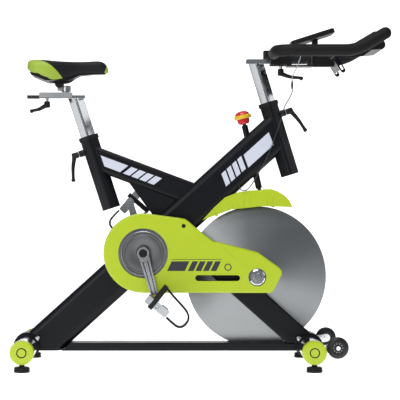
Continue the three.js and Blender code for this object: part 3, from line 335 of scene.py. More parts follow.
plug_middle = (Vector(plug_low) + Vector(plug_high)) / 2
plug_half = (plug_high[2] - plug_low[2]) / 2
plug_line = [plug_middle + Vector((0, 0, plug_half * share)) for share in
             (-1, -0.95, -0.55, -0.5, -0.05, 0, 0.05, 0.4, 0.45, 0.95, 1)]
plug_radii = [r * MM for r in (2.2, 2.6, 3.2, 3.9, 3.9, 3.4, 4, 4, 3.1, 2.4, 2.0)]
plug = added("lead_connector", swept("lead_connector", plug_line, plug_radii, 24), plug_body,
             "handlebar_column", ["lead_plug"])
for lead_name, route, sheath, bodies, cad_node, bend_share, bend_stop, cord_facts in (
    ("sensor_cable", LOWER_LEAD, dark_sheath, ("frame", "handlebar_column"), "sensor_lead",
     2 / 3, -4, {"far_end": "connector", "with_pieces": [plug]}),
    ("console_cable", UPPER_LEAD, grey_sheath, ("handlebar_column", "handlebar"), "console_lead",
     0, -3, {"far_end": "object"}),
):
    line = curved([Vector(point) * MM for point in route])
    lead_mesh = swept(lead_name, line, [LEAD_R] * len(line), 12)
    lead = added(lead_name, lead_mesh, sheath, None, [cad_node])
    lead_long = sum((b - a).length for a, b in zip(line, line[1:]))
    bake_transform(lead)

# ---------------------------------------------------------------------------------------------
# Frame: box-section steel tubes with rounded edges, welded and powder coated in satin black. Bars
# of thin white foil are stuck on both sides of the two beams, in the beams' own leaning axes.


def refined(name, node, finish, body, edge=0.7, angle=32, broad=None, broad_edge=0):
    """The frame's own solid with its flat faces cleaned, its sharp edges rounded and shaded;
    the edges that broad() picks by their middle are rounded by broad_edge instead."""
    work = bmesh.new()
    work.from_mesh(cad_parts[node].data)
    bmesh.ops.remove_doubles(work, verts=work.verts, dist=2e-6)
    bmesh.ops.dissolve_limit(work, angle_limit=math.radians(1.2), verts=work.verts, edges=work.edges)
    if broad:
        picked = [e for e in work.edges if broad(e) and e.calc_face_angle(0) > 1]
        bmesh.ops.bevel(work, geom=picked, offset=broad_edge * MM, segments=5, profile=0.5,
                        affect="EDGES", clamp_overlap=True)
    mesh = bpy.data.meshes.new(name)
    work.to_mesh(mesh)
    piece = bpy.data.objects.new(name, mesh)
    bpy.context.collection.objects.link(piece)
    rounding = piece.modifiers.new("rounded_edges", "BEVEL")
    rounding.width = edge * MM
    rounding.segments = 2
    rounding.limit_method = "ANGLE"
    rounding.angle_limit = math.radians(angle)
    rounding.miter_outer = "MITER_ARC"
    smoothed(mesh, 38)
    flats = piece.modifiers.new("flat_faces_stay_flat", "WEIGHTED_NORMAL")
    flats.keep_sharp = True
    flats.weight = 90
    shaped = piece.evaluated_get(bpy.context.evaluated_depsgraph_get())
    final = bpy.data.meshes.new_from_object(shaped)
    bpy.data.objects.remove(piece)
    return added(name, final, finish, body, [node])


black_coat = grained("satin_black_coat", (0.0035, 0.004, 0.0065), 0.36, shine=0.24, grain=0.0016,
                     depth=0.00004, wear=0.06, tone=0.2)
for part in ("main_beam", "seat_beam", "front_leg_left", "front_leg_right", "floor_bar",
             "seat_sleeve", "head_sleeve"):
    refined(f"{part}_tube", part, black_coat, "frame", 1.0)


def leaning(x, z, degrees, y=0.0):
    """A place whose own X runs forward and up by degrees, in the plane of the frame."""
    turned_up = Matrix.Rotation(-math.radians(degrees), 4, "Y")
    return Matrix.Translation((x * MM, y * MM, z * MM)) @ turned_up


def foil(name, outlines, place, y, finish, body, thick=0.15):
    """Flat shapes cut from thin foil: outlines in x and z, stuck on the face at y, facing out."""
    work = bmesh.new()
    outward = math.copysign(thick, y)
    for outline in outlines:
        back = [work.verts.new((x * MM, y * MM, z * MM)) for x, z in outline]
        front = [work.verts.new((x * MM, (y + outward) * MM, z * MM)) for x, z in outline]
        work.faces.new(back)
        work.faces.new(front[::-1])
        for i in range(len(outline)):
            after = (i + 1) % len(outline)
            work.faces.new((back[i], front[i], front[after], back[after]))
    bmesh.ops.recalc_face_normals(work, faces=work.faces)
    work.transform(place)
    mesh = bpy.data.meshes.new(name)
    work.to_mesh(mesh)
    return added(name, mesh, finish, body)


def slanted(bottom_from, bottom_to, shift, low, high):
    """A bar whose top is shifted forward of its bottom."""
    return [(bottom_from, low), (bottom_to, low), (bottom_to + shift, high), (bottom_from + shift, high)]


white_foil = grained("white_foil", (0.66, 0.69, 0.80), 0.3, grain=0.0004, depth=0.00001, tone=0.03)
main_bars = [slanted(343.3 + 23.1 * i, 360.6 + 23.1 * i, 16.2, -21, 20) for i in range(4)]
main_bars.append(slanted(438, 548, 16, -24, 17))
seat_bars = [slanted(102.5 + 28 * i, 125 + 28 * i, 18, -14.5, 14.5) for i in range(4)]
seat_bars.append([(38, -14.5), (92, -14.5), (110, 14.5), (14, 14.5)])
for side_name, side in (("right", -1), ("left", 1)):
    foil(f"main_beam_bars_{side_name}", main_bars, leaning(-186, 366, 42.1), side * 30.05,
         white_foil, "frame")
    foil(f"seat_beam_bars_{side_name}", seat_bars, leaning(-342.8, 673, -20.5), side * 25.05,
         white_foil, "frame")

# ---------------------------------------------------------------------------------------------
# Stabilizers: chromed round tubes with lime green push-on caps that carry a printed ring, rubber
# levelling feet, black clamp bands with plated bolts, and two rubber transport rollers with studs
# moulded into their hubs.


def turned(name, centre, profile, steps=96, axis="Y"):
    """A solid turned about an axis through centre from (radius, along) points in millimetres."""
    work = bmesh.new()
    rings = []
    for radius, along in profile:
        ring = []
        for step in range(steps if radius > 0 else 1):
            angle = 2 * math.pi * step / steps
            u, v = radius * math.cos(angle), radius * math.sin(angle)
            x, y, z = (u, along, v) if axis == "Y" else (u, v, along)
            ring.append(work.verts.new(Vector((centre[0] + x, centre[1] + y, centre[2] + z)) * MM))
        rings.append(ring)
    closed = profile[0][0] > 0
    for first, second in zip(rings, rings[1:] + ([rings[0]] if closed else [])):
        for step in range(steps):
            after = (step + 1) % steps
            corners = [first[step % len(first)], first[after % len(first)],
                       second[after % len(second)], second[step % len(second)]]
            corners = list(dict.fromkeys(corners))
            if len(corners) > 2:
                work.faces.new(corners)
    bmesh.ops.recalc_face_normals(work, faces=work.faces)
    mesh = bpy.data.meshes.new(name)
    work.to_mesh(mesh)
    return smoothed(mesh, 30)


chrome = grained("polished_chrome", (0.70, 0.71, 0.73), 0.12, metallic=1.0, grain=0.0012,
                 depth=0.000004, wear=0.04, tone=0.04)
lime = grained("lime_gloss_plastic", (0.475, 0.605, 0.016), 0.32, coat=0.2, grain=0.0011,
               depth=0.00003, wear=0.05, tone=0.03)
dull_black = grained("moulded_black_plastic", (0.006, 0.006, 0.007), 0.42, shine=0.3, grain=0.0007,
                     depth=0.00006, wear=0.06, tone=0.15)
rubber = grained("black_rubber", (0.007, 0.007, 0.007), 0.6, shine=0.25, grain=0.0012, depth=0.00006)
roller_rubber = grained("roller_rubber", (0.009, 0.009, 0.01), 0.38, grain=0.002, depth=0.00002)
STABILIZER_Z = 61.5
ENDS = (("rear", -562), ("front", 350))
for end, x in ENDS:
    refined(f"{end}_stabilizer_tube", f"{end}_stabilizer", chrome, "frame", 0.6, 40)
    for side_name, side in (("left", 1), ("right", -1)):
        centre = (x, 0, STABILIZER_Z)
        cap_profile = [(35.4, 226), (37.4, 226), (38, 227), (38, 252), (37.4, 255), (35.6, 257),
                       (33, 257.8), (24, 258), (0, 258), (0, 250), (31, 250), (31, 233), (35.4, 233)]
        cap_profile = [(r, side * along) for r, along in cap_profile]
        added(f"{end}_end_cap_{side_name}", turned(f"{end}_end_cap_{side_name}", centre, cap_profile),
              lime, "frame", [f"{end}_cap_{side_name}"])
        ring = [(12.5, 258.02), (16, 258.02), (16, 258.2), (12.5, 258.2)]
        ring = [(r, side * along) for r, along in ring]
        added(f"{end}_cap_ring_{side_name}", turned(f"{end}_cap_ring_{side_name}", centre, ring),
              dull_black, "frame")
        foot = [(0, 0), (23, 0), (24.6, 1.2), (25, 3), (25, 7.6), (24.4, 8.6), (23.6, 9),
                (23.6, 10), (24.4, 10.6), (24.4, 14), (23.4, 16), (20.8, 17.2), (12, 18), (9, 18.4),
                (8.6, 21.6), (7.8, 22.4), (5.2, 22.6), (5.2, 34), (0, 34)]
        added(f"{end}_levelling_foot_{side_name}",
              turned(f"{end}_levelling_foot_{side_name}", (x, side * 241, 0), foot, 64, "Z"),
              rubber, f"foot_{end}_{side_name}", [f"{end}_foot_{side_name}"])

bright_steel = grained("zinc_plated_steel", (0.55, 0.55, 0.54), 0.28, metallic=1.0, grain=0.0006,
                       depth=0.00002)
BOLT = [(0, -2), (4, -2), (4, 0), (9, 0), (9, 1.6), (7.4, 1.8), (7.4, 7.4), (6.4, 8.4), (4, 8.6),
        (4, 11), (3.2, 12), (0, 12)]
for end, x, band_from, lean in (("rear", -562, 30.6, -50), ("front", 350, 45, 50)):
    for side_name, side in (("left", 1), ("right", -1)):
        band = [(35.2, band_from), (38.6, band_from), (39.2, band_from + 0.8),
                (39.2, band_from + 14), (38.6, band_from + 15), (35.2, band_from + 15)]
        band = [(r, side * along) for r, along in band]
        added(f"{end}_clamp_band_{side_name}",
              turned(f"{end}_clamp_band_{side_name}", (x, 0, STABILIZER_Z), band, 72), black_coat,
              "frame")
        bolt = turned(f"{end}_clamp_bolt_{side_name}", (0, 0, 39.2), BOLT, 24, "Z")
        bolt.transform(Matrix.Translation((x * MM, side * (band_from + 8) * MM, STABILIZER_Z * MM))
                       @ Matrix.Rotation(-math.radians(lean), 4, "Y"))
        added(f"{end}_clamp_bolt_{side_name}", bolt, bright_steel, "frame")

WHEEL_X, WHEEL_Z, WHEEL_Y = 428, 72, 195
roller = [(4.6, -12), (7.2, -12), (7.6, -11), (10.2, -10.4), (10.6, -9), (17.4, -9), (18, -10.4),
          (20, -11), (25, -10.4), (30, -8), (33, -4.8), (34.2, -1.6), (34.2, 1.6), (33, 4.8),
          (30, 8), (25, 10.4), (20, 11), (18, 10.4), (17.4, 9), (10.6, 9), (10.2, 10.4),
          (7.6, 11), (7.2, 12), (4.6, 12)]
hub_grey = grained("roller_hub", (0.30, 0.31, 0.32), 0.35, grain=0.001)
for side_name, side in (("left", 1), ("right", -1)):
    centre = (WHEEL_X, side * WHEEL_Y, WHEEL_Z)
    added(f"roller_{side_name}", turned(f"roller_{side_name}", centre, roller), roller_rubber,
          f"wheel_{side_name}", [f"transport_wheel_{side_name}"])
    for count in range(10):
        angle = 2 * math.pi * count / 10
        stud_at = (WHEEL_X + 14 * math.cos(angle), side * WHEEL_Y, WHEEL_Z + 14 * math.sin(angle))
        stud = [(0, -9.9), (1.6, -9.9), (2.1, -9.3), (2.1, 9.3), (1.6, 9.9), (0, 9.9)]
        added(f"roller_stud_{side_name}_{count}", turned(f"roller_stud_{side_name}_{count}", stud_at,
              stud, 16), hub_grey, f"wheel_{side_name}")

# ---------------------------------------------------------------------------------------------
# Columns: square chromed posts, each in a black sleeve with a moulded collar. The seat post's
# rail has a dipped black end. A moulded lever on a plated screw clamps each post and each slide.

for part in ("seat", "head"):
    refined(f"{part}_collar_ring", f"{part}_collar", dull_black, "frame", 0.8)
rail_chrome = grained("chrome_with_dipped_end", (0.70, 0.71, 0.73), 0.12, metallic=1.0,
                      grain=0.0012, depth=0.000004, wear=0.04, tone=0.04)
dipped = rail_chrome.axes()[0] < -0.525
rail_chrome.feed("Base Color", rail_chrome.mix(dipped, (0.70, 0.71, 0.73), (0.008, 0.008, 0.009)))
rail_chrome.feed("Metallic", 1.0 - dipped)
rail_chrome.feed("Roughness", dipped * 0.35 + 0.12)
refined("seat_column_post", "seat_post", rail_chrome, "seat_column", 0.6)
refined("handlebar_column_post", "handlebar_post", chrome, "handlebar_column", 0.6)


def clamp_lever(name, node, body, place, hub_from, hub_to, end):
    """A moulded lever: a round hub along its own X with a button in its end, and an arm that
    swells at its tip, on a plated screw."""
    hub_line = [Vector((hub_from + share * (hub_to - hub_from), 0, 0)) * MM for share in
                (0, 0.03, 0.12, 0.5, 0.9, 0.97, 1, 1, 1.04, 1.05)]
    hub_radii = [r * MM for r in (8, 9.2, 9.8, 10.2, 10.2, 9.6, 8.4, 5.6, 5.4, 4.6)]
    arm_line = curved([Vector((x, 0, z)) * MM for x, z in (
        (hub_to - 8, 1), (hub_to - 3, -10), (0.55 * hub_to + 0.45 * end[0], 0.45 * end[1] - 3),
        (end[0] - 3, 0.86 * end[1]), end)], 6)
    arm_radii = []
    for i in range(len(arm_line)):
        share = i / (len(arm_line) - 1)
        swell = math.exp(-(((share - 0.93) / 0.09) ** 2))
        arm_radii.append((8.6 - 3.4 * min(1, share * 1.6) + 1.9 * swell) * MM)
    arm_line.append(arm_line[-1] + (arm_line[-1] - arm_line[-2]).normalized() * 3 * MM)
    arm_radii.append(arm_radii[-1] * 0.55)
    screw_line = [Vector((x, 0, 0)) * MM for x in (hub_from - 9, hub_from - 8.4, hub_from + 1)]
    for part, mesh, finish, nodes in (
        ("hub", swept(f"{name}_hub", hub_line, hub_radii, 28), dull_black, [node]),
        ("arm", swept(f"{name}_arm", arm_line, arm_radii, 20), dull_black, []),
        ("screw", swept(f"{name}_screw", screw_line, [4.2 * MM, 5 * MM, 5 * MM], 20), bright_steel, []),
    ):
        mesh.transform(place)
        added(f"{name}_{part}", mesh, finish, body, nodes)


facing_back = Matrix.Diagonal((-1, 1, 1, 1))
pointing_down = Matrix.Rotation(math.radians(90), 4, "Y")
clamp_lever("seat_column_clamp", "seat_post_lever", "seat_column_lever",
            leaning(-362, 732, 18) @ facing_back @ Matrix.Translation((0, 0, -34 * MM)),
            47.4, 70, (91, -77))
clamp_lever("handlebar_column_clamp", "handlebar_post_lever", "handlebar_column_lever",
            leaning(224, 842, 17) @ Matrix.Translation((0, 0, -34 * MM)), 47.4, 70, (91, -77))
clamp_lever("saddle_slide_clamp", "seat_slide_lever", "seat_slider_lever",
            Matrix.Translation((-500 * MM, 0, 858.5 * MM)) @ pointing_down, 0, 20, (33, -53))
clamp_lever("handlebar_slide_clamp", "handlebar_slide_lever", "handlebar_slider_lever",
            Matrix.Translation((262 * MM, 0, 964.2 * MM)) @ Matrix.Rotation(math.pi, 4, "Z")
            @ pointing_down, 0, 22, (32, -70))

# ---------------------------------------------------------------------------------------------
# Saddle: a steel carriage on the rail, a moulded shell that tilts on it, and a thick foam pad
# under a sewn cover, black on top with lime green panels round the back and a nose piece.

brushed = grained("brushed_steel", (0.50, 0.51, 0.52), 0.32, metallic=1.0, grain=0.0012,
                  depth=0.00003, wear=0.06, tone=0.08, stretch=(0.06, 1, 1))
refined("saddle_carriage", "seat_carriage", brushed, "seat_slider", 0.8)
refined("saddle_base", "saddle_shell", dull_black, "saddle", 1.5)

for side_name, side in (("left", 1), ("right", -1)):
    rail_line = curved([Vector((x, side * y, z)) * MM for x, y, z in (
        (-547, 30, 951), (-520, 27, 937), (-492, 24, 925), (-462, 22, 920), (-428, 20, 923),
        (-400, 16, 945))], 6)
    rail_mesh = swept(f"saddle_rail_{side_name}", rail_line, [3.5 * MM] * len(rail_line), 16)
    added(f"saddle_rail_{side_name}", rail_mesh, black_coat, "saddle")
    nut = [(0, 16), (13, 16), (13.6, 17), (13.6, 26), (12.6, 28), (8.4, 28), (8.4, 31), (7.4, 32),
           (0, 32)]
    nut = [(r, side * along) for r, along in nut]
    added(f"saddle_clamp_nut_{side_name}", turned(f"saddle_clamp_nut_{side_name}", (-460, 0, 915),
          nut, 40), dull_black, "saddle")

# Along the saddle: x, half width, top and bottom of the pad.
SADDLE_STATIONS = [
    (-561.8, 34, 976, 966), (-560.5, 56, 983, 960), (-555, 74, 989, 954), (-543, 86, 992, 947),
    (-522, 91.5, 991.5, 938), (-498, 90.5, 990, 927.5), (-479, 84.5, 988, 921.5),
    (-461, 74, 987, 924), (-441, 60.5, 986.4, 930.5), (-421, 48.5, 986, 938), (-401, 39.5, 985.7, 944.5),
    (-380, 33.5, 986, 947.5), (-355, 30, 987.6, 949), (-334, 27.5, 989, 949), (-319, 24.5, 987, 949),
    (-308.5, 20, 979.5, 949.5), (-302.5, 14.5, 969, 951), (-300.4, 9, 962, 954),
]
# Round the pad from the middle of the top: share of the half width, share of the height from
# the top, and how far the point is lowered in millimetres.
PAD_SECTION = [(0, 0, 3.2), (0.16, 0, 1.6), (0.42, 0, 0), (0.68, 0, 1.2), (0.86, 0.07, 1.5),
               (0.97, 0.25, 1), (1.0, 0.5, 0), (0.975, 0.8, 0), (0.93, 0.97, 0), (0.86, 1.0, 0),
               (0.7, 0.9, 0), (0.35, 0.82, 0), (0, 0.82, 0)]


def pad_mesh(name):
    """The saddle's pad: the section set at each station, and the whole subdivided smooth."""
    work = bmesh.new()
    rings = []
    for x, half, top, bottom in SADDLE_STATIONS:
        right = [(share * half, top - down * (top - bottom) - sink * half / 92)
                 for share, down, sink in PAD_SECTION]
        left = [(-y, z) for y, z in right[-2:0:-1]]
        rings.append([work.verts.new((x * MM, y * MM, z * MM)) for y, z in right + left])
    count = len(rings[0])
    for first, second in zip(rings, rings[1:]):
        for i in range(count):
            after = (i + 1) % count
            work.faces.new((first[i], first[after], second[after], second[i]))
    work.faces.new(rings[0][::-1])
    work.faces.new(rings[-1])
    bmesh.ops.recalc_face_normals(work, faces=work.faces)
    mesh = bpy.data.meshes.new(name)
    work.to_mesh(mesh)
    holder = bpy.data.objects.new(name, mesh)
    bpy.context.collection.objects.link(holder)
    holder.modifiers.new("swell", "SUBSURF").levels = 3
    shaped = holder.evaluated_get(bpy.context.evaluated_depsgraph_get())
    final = bpy.data.meshes.new_from_object(shaped)
    bpy.data.objects.remove(holder)
    return smoothed(final, 70)


cover = Finish("saddle_cover", (0.007, 0.007, 0.008), 0.5, shine=0.3)
x, y, z = cover.axes()
along = ((x + 0.553) / 0.108).at_least(0.0)
panel_edge = 0.990 - (along ** 2.7) * 0.061
panel = z < panel_edge
nose_edge = (z - 0.9514) * 0.377 - 0.3122
nose = x > nose_edge
coloured = panel.at_least(nose)
grain = cover.node("ShaderNodeTexVoronoi", sockets={"Vector": cover.place(), "Scale": 620.0})
shade = cover.noise(0.03, 3)
black_side = cover.mix(shade, (0.005, 0.005, 0.006), (0.010, 0.010, 0.012))
green_side = cover.mix(shade, (0.33, 0.46, 0.05), (0.40, 0.54, 0.07))
cover.feed("Base Color", cover.mix(coloured, black_side, green_side))
cover.feed("Roughness", coloured * -0.14 + shade * 0.1 + 0.47)
seam = (abs(z - panel_edge) / 0.0016).at_most(1.0)
nose_seam = (abs(x - nose_edge) / 0.0012).at_most(1.0)
cover.relief(seam * nose_seam + grain * 0.12, 0.0011)
pad = added("saddle_cushion", pad_mesh("saddle_cushion"), cover, "saddle",
            ["saddle_pad"])

# ---------------------------------------------------------------------------------------------
# Handlebar: a bent steel tube under two foam grips, held in a moulded block that slides on the
# rail; the block's arm carries a tilted console and a moulded tray on a slotted steel bracket.

BAR_X, BAR_Z, BAR_HALF, GRIP_FROM, GRIP_R = 236, 1008.4, 200, 60, 19
HORN_X, HORN_SLOPE, HORN_LONG = 484, math.radians(30), 107
foam = grained("foam_sleeve", (0.007, 0.007, 0.008), 0.6, shine=0.22, grain=0.0009,
               depth=0.00025, tone=0.2)


def bar_line(from_y, side):
    """The bar's centre line from from_y on the cross piece to the tip of one horn."""
    start = Vector((BAR_X, from_y, BAR_Z))
    corner = Vector((BAR_X, BAR_HALF, BAR_Z))
    horn = Vector((HORN_X, BAR_HALF, BAR_Z))
    tip = horn + HORN_LONG * Vector((math.cos(HORN_SLOPE), 0, math.sin(HORN_SLOPE)))
    line = [start]
    for before, middle, after, reach in ((start, corner, horn, 55), (corner, horn, tip, 35)):
        enter = middle + (before - middle).normalized() * reach
        leave = middle + (after - middle).normalized() * reach
        for step in range(17):
            t = step / 16
            line.append(enter * (1 - t) ** 2 + middle * 2 * t * (1 - t) + leave * t * t)
    line.append(tip)
    return [Vector((p.x, p.y * side, p.z)) * MM for p in line]


for side_name, side in (("left", 1), ("right", -1)):
    grip = bar_line(GRIP_FROM, side)
    tip = grip[-1]
    outward = (grip[-1] - grip[-2]).normalized()
    # The end by the stem is eased by 1.4 mm, and the end of the horn is a half ball.
    line = [grip[0], grip[0] + Vector((0, side * 1.4 * MM, 0)), *grip[1:]]
    radii = [17.6 * MM] + [GRIP_R * MM] * len(grip)
    for degrees in (15, 30, 45, 60, 75, 86):
        line.append(tip + outward * GRIP_R * MM * math.sin(math.radians(degrees)))
        radii.append(GRIP_R * MM * math.cos(math.radians(degrees)))
    added(f"foam_grip_{side_name}", swept(f"foam_grip_{side_name}", line, radii, 40), foam,
          "handlebar", [f"grip_{side_name}"])
cross_piece = [Vector((BAR_X, y, BAR_Z)) * MM for y in (-GRIP_FROM, 0, GRIP_FROM)]
whole_bar = [*bar_line(GRIP_FROM, -1)[:0:-1], *cross_piece, *bar_line(GRIP_FROM, 1)[1:]]
bar_radii = [12.7 * MM] * len(whole_bar)
added("handlebar_bent_tube", swept("handlebar_bent_tube", whole_bar, bar_radii, 32), black_coat,
      "handlebar", ["handlebar_tube"])
refined("handlebar_block", "handlebar_carriage", dull_black, "handlebar", 3.0)
refined("tray_ears", "tray_bracket", black_coat, "handlebar", 0.5)
refined("phone_tray", "accessory_tray", dull_black, "handlebar", 2.5)
refined("console_case", "console", dull_black, "handlebar", 3.0)


def slab(name, place, low, high, finish, body, round_by=0.4):
    """A thin block with rounded edges between two corners, in a place's own axes."""
    work = bmesh.new()
    bmesh.ops.create_cube(work, size=1)
    for vert in work.verts:
        for axis in range(3):
            vert.co[axis] = (high[axis] if vert.co[axis] > 0 else low[axis]) * MM
    bmesh.ops.bevel(work, geom=work.edges[:], offset=round_by * MM, segments=3, profile=0.5,
                    affect="EDGES")
    work.transform(place)
    mesh = bpy.data.meshes.new(name)
    work.to_mesh(mesh)
    return added(name, smoothed(mesh, 40), finish, body)


glass = grained("dark_display_window", (0.004, 0.005, 0.007), 0.08, coat=0.6, grain=0.01,
                depth=0.000002, wear=0.02)
console_place = leaning(362.5, 1064, 17.7)
slab("console_window", console_place, (-42, -50, 7.9), (52, 50, 8.9), glass, "handlebar")
for count, across in enumerate((-36, -12, 12, 36)):
    slab(f"console_button_{count}", console_place, (-62, across - 8, 7.9), (-50, across + 8, 9.4),
         rubber, "handlebar", 1.2)

# ---------------------------------------------------------------------------------------------
# Drive: a forged and polished crank with a large pulley behind its disc, and metal pedals with
# moulded toe clips and woven straps.

polished = grained("polished_aluminium", (0.66, 0.67, 0.69), 0.2, metallic=1.0, grain=0.0015,
                   depth=0.00001, wear=0.06, tone=0.06)
cast = grained("cast_disc_metal", (0.17, 0.175, 0.18), 0.34, metallic=0.9, grain=0.0016,
               depth=0.00005, wear=0.08, tone=0.15)
CRANK_X, CRANK_Z, CRANK_LONG, CRANK_TURN = -186, 366, 170, 15.5
refined("crank_pulley", "drive_pulley", brushed, "crank", 0.5)
disc_profile = [(10.6, -72), (74, -72), (74.6, -73), (74.6, -77.4), (74, -78), (71.6, -78),
                (71, -77.6), (69.6, -75), (66.5, -74.6), (65, -76.4), (62, -77), (60.6, -76.6),
                (60, -75.2), (57.6, -75.2), (57, -77), (56, -77.6), (24, -77.9), (22, -77),
                (10.6, -77)]
added("crank_cover_disc", turned("crank_cover_disc", (CRANK_X, 0, CRANK_Z), disc_profile, 128), cast,
      "crank", ["crank_disc"])
rim = [(69.2, -77.8), (70, -78.4), (74.4, -78.4), (74.9, -77.6), (74.9, -76.6), (69.6, -76.6)]
added("crank_disc_rim", turned("crank_disc_rim", (CRANK_X, 0, CRANK_Z), rim, 128), chrome, "crank")
# A dark finish that paints the shade in the crank arm's grooves.
shadow = grained("groove_shadow", (0.035, 0.035, 0.038), 0.4, metallic=0.6, grain=0.002)
yellow_patch = grained("yellow_film", (0.70, 0.50, 0.01), 0.35, grain=0.002, depth=0.00001)


def band(name, line, side, width, thick, closed=False):
    """A flat strap along a line, width wide towards side, with rounded edges."""
    work = bmesh.new()
    side = Vector(side)
    rings = []
    count = len(line)
    for i in range(count):
        if closed:
            ahead = line[(i + 1) % count] - line[i - 1]
        else:
            ahead = line[min(i + 1, count - 1)] - line[max(i - 1, 0)]
        out = ahead.normalized().cross(side).normalized()
        ring = []
        for across, up in ((-0.5, -0.25), (-0.44, -0.5), (0.44, -0.5), (0.5, -0.25), (0.5, 0.25),
                           (0.44, 0.5), (-0.44, 0.5), (-0.5, 0.25)):
            ring.append(work.verts.new(line[i] + side * across * width * MM + out * up * thick * MM))
        rings.append(ring)
    for first, second in zip(rings, rings[1:] + ([rings[0]] if closed else [])):
        for i in range(8):
            after = (i + 1) % 8
            work.faces.new((first[i], first[after], second[after], second[i]))
    if not closed:
        work.faces.new(rings[0][::-1])
        work.faces.new(rings[-1])
    bmesh.ops.recalc_face_normals(work, faces=work.faces)
    mesh = bpy.data.meshes.new(name)
    work.to_mesh(mesh)
    return smoothed(mesh, 50)


webbing = grained("woven_strap", (0.008, 0.008, 0.009), 0.6, shine=0.3, grain=0.0014,
                  depth=0.0002, stretch=(1, 0.3, 1))
for side_name, side, turn, tilt in (("right", -1, CRANK_TURN, 39), ("left", 1, CRANK_TURN + 180, 131)):
    refined(f"crank_{side_name}", f"crank_arm_{side_name}", polished, "crank", 2.2, 28)
    arm_place = leaning(CRANK_X, CRANK_Z, turn)
    # Two flat dark strips beside the ridge are painted shade, standing in for the shadow in the arm's
    # grooves.
    foil(f"crank_{side_name}_painted_groove_shade", [
        [(-9.4, -26), (-6.0, -26), (-4.4, -150), (-6.4, -150)],
        [(6.0, -26), (9.4, -26), (6.4, -150), (4.4, -150)],
    ], arm_place, side * 102.02, shadow, "crank", 0.12)
    foil(f"crank_{side_name}_ridge", [[(-4.4, -24), (4.4, -24), (3, -152), (-3, -152)]], arm_place,
         side * 101.9, polished, "crank", 1.6)
    refined(f"pedal_{side_name}_cage", f"pedal_{side_name}", polished, f"pedal_{side_name}_turning",
            1.0)
    eye = arm_place @ Vector((0, 0, -CRANK_LONG * MM))
    pedal_place = leaning(eye.x / MM, eye.z / MM, -tilt, side * 160)
    clip_line = curved([Vector((x, 0, z)) * MM for x, z in (
        (46, -10), (70, -11.5), (92, -10), (103.5, 1), (106, 18), (100.5, 34), (84, 45), (55, 51),
        (18, 57), (-15, 64))], 5)
    clip = band(f"toe_clip_{side_name}", clip_line, (0, 1, 0), 42, 6)
    clip.transform(pedal_place)
    added(f"toe_clip_{side_name}_cage", clip, dull_black, f"pedal_{side_name}_turning",
          [f"toe_clip_{side_name}"])
    loop = []
    strap_corners = ((37, 53.5, 0), (-37, 53.5, 90), (-37, -6.5, 180), (37, -6.5, 270))
    for corner_y, corner_z, start in strap_corners:
        for step in range(5):
            angle = math.radians(start + 22.5 * step)
            y = corner_y + 12.5 * math.cos(angle)
            z = corner_z + 12.5 * math.sin(angle)
            loop.append(Vector((-15, y, z)) * MM)
    strap = band(f"toe_strap_{side_name}", loop, (1, 0, 0), 15, 3.2, True)
    strap.transform(pedal_place)
    added(f"toe_strap_{side_name}_loop", strap, webbing, f"pedal_{side_name}_turning")
foil("crank_right_film", [[(-7, -138), (7, -138), (7, -150), (-7, -150)]],
     leaning(CRANK_X, CRANK_Z, CRANK_TURN), -103.6, yellow_patch, "crank", 0.1)
for side_name, side in (("right", -1), ("left", 1)):
    bolt = [(0, 100), (13.4, 100), (13.4, 102.6), (12.4, 103.6), (8.4, 103.8), (7.6, 102.9),
            (0, 102.9)]
    bolt = [(r, side * along) for r, along in bolt]
    added(f"crank_bolt_cap_{side_name}", turned(f"crank_bolt_cap_{side_name}", (CRANK_X, 0, CRANK_Z),
          bolt, 48), dull_black, "crank")
refined("belt_loop", "drive_belt", rubber, "frame", 0.4)
refined("bottom_bracket_unit", "bottom_bracket", brushed, "frame", 0.4)

# ---------------------------------------------------------------------------------------------
# Guard: a glossy lime green moulded cover over the belt, with a broad rounded rim, a crease, one
# screw and a black back plate. Its printed black bars and ring are thin foil on its face.

GUARD_SIDE, GUARD_AXLE = -84, (181, 288.5)
SLOT_X, SLOT_Z = (-40, 150), (250, 310)


def on_outer_rim(edge):
    """Picks the edges between the guard's face and its outer wall, not those of its holes."""
    if any(abs(vert.co.y / MM - GUARD_SIDE) > 0.3 for vert in edge.verts):
        return False
    middle = (edge.verts[0].co + edge.verts[1].co) / (2 * MM)
    from_crank = math.hypot(middle.x - CRANK_X, middle.z - CRANK_Z)
    from_axle = math.hypot(middle.x - GUARD_AXLE[0], middle.z - GUARD_AXLE[1])
    in_slot = SLOT_X[0] < middle.x < SLOT_X[1] and SLOT_Z[0] < middle.z < SLOT_Z[1]
    return from_crank > 105 and from_axle > 45 and not in_slot


refined("guard_cover", "drive_guard", lime, "frame", 0.6, 40, on_outer_rim, 6.5)
crease_line = ((66, 384), (68, 382.4), (110, 349.5), (152, 316.4))
crease = [Vector((x, GUARD_SIDE - 0.1, z)) * MM for x, z in crease_line]
added("guard_crease", swept("guard_crease", crease, [r * MM for r in (0.2, 0.8, 0.8, 0.2)], 12), lime,
      "frame")
guard_screw = [(0, -83.8), (6.4, -83.8), (6.4, -84.6), (5.8, -85.2), (3, -85.4), (2.6, -84.6),
               (0, -84.6)]
added("guard_screw", turned("guard_screw", (-55.6, 0, 453.5), guard_screw, 32), dull_black, "frame")
refined("guard_back_plate", "guard_back", dull_black, "frame", 0.6)
print_black = grained("printed_black", (0.03, 0.03, 0.042), 0.35, grain=0.0005, depth=0.00001)
GUARD_FACE = GUARD_SIDE - 0.05
guard_bars = [slanted(-109, -52, 15, 309, 340)]
guard_bars += [slanted(-42.5 + 24.4 * i, -24 + 24.4 * i, 15, 309, 340) for i in range(4)]
guard_bars += [slanted(-95, 66, 1, 345.4, 347)]
foil("guard_printed_bars", guard_bars, Matrix.Identity(4), GUARD_FACE, print_black, "frame")
ring = [(8.2, GUARD_FACE), (11.6, GUARD_FACE), (11.6, GUARD_FACE - 0.2), (8.2, GUARD_FACE - 0.2)]
added("guard_printed_ring", turned("guard_printed_ring", (86.7, 0, 321), ring, 64), print_black,
      "frame")

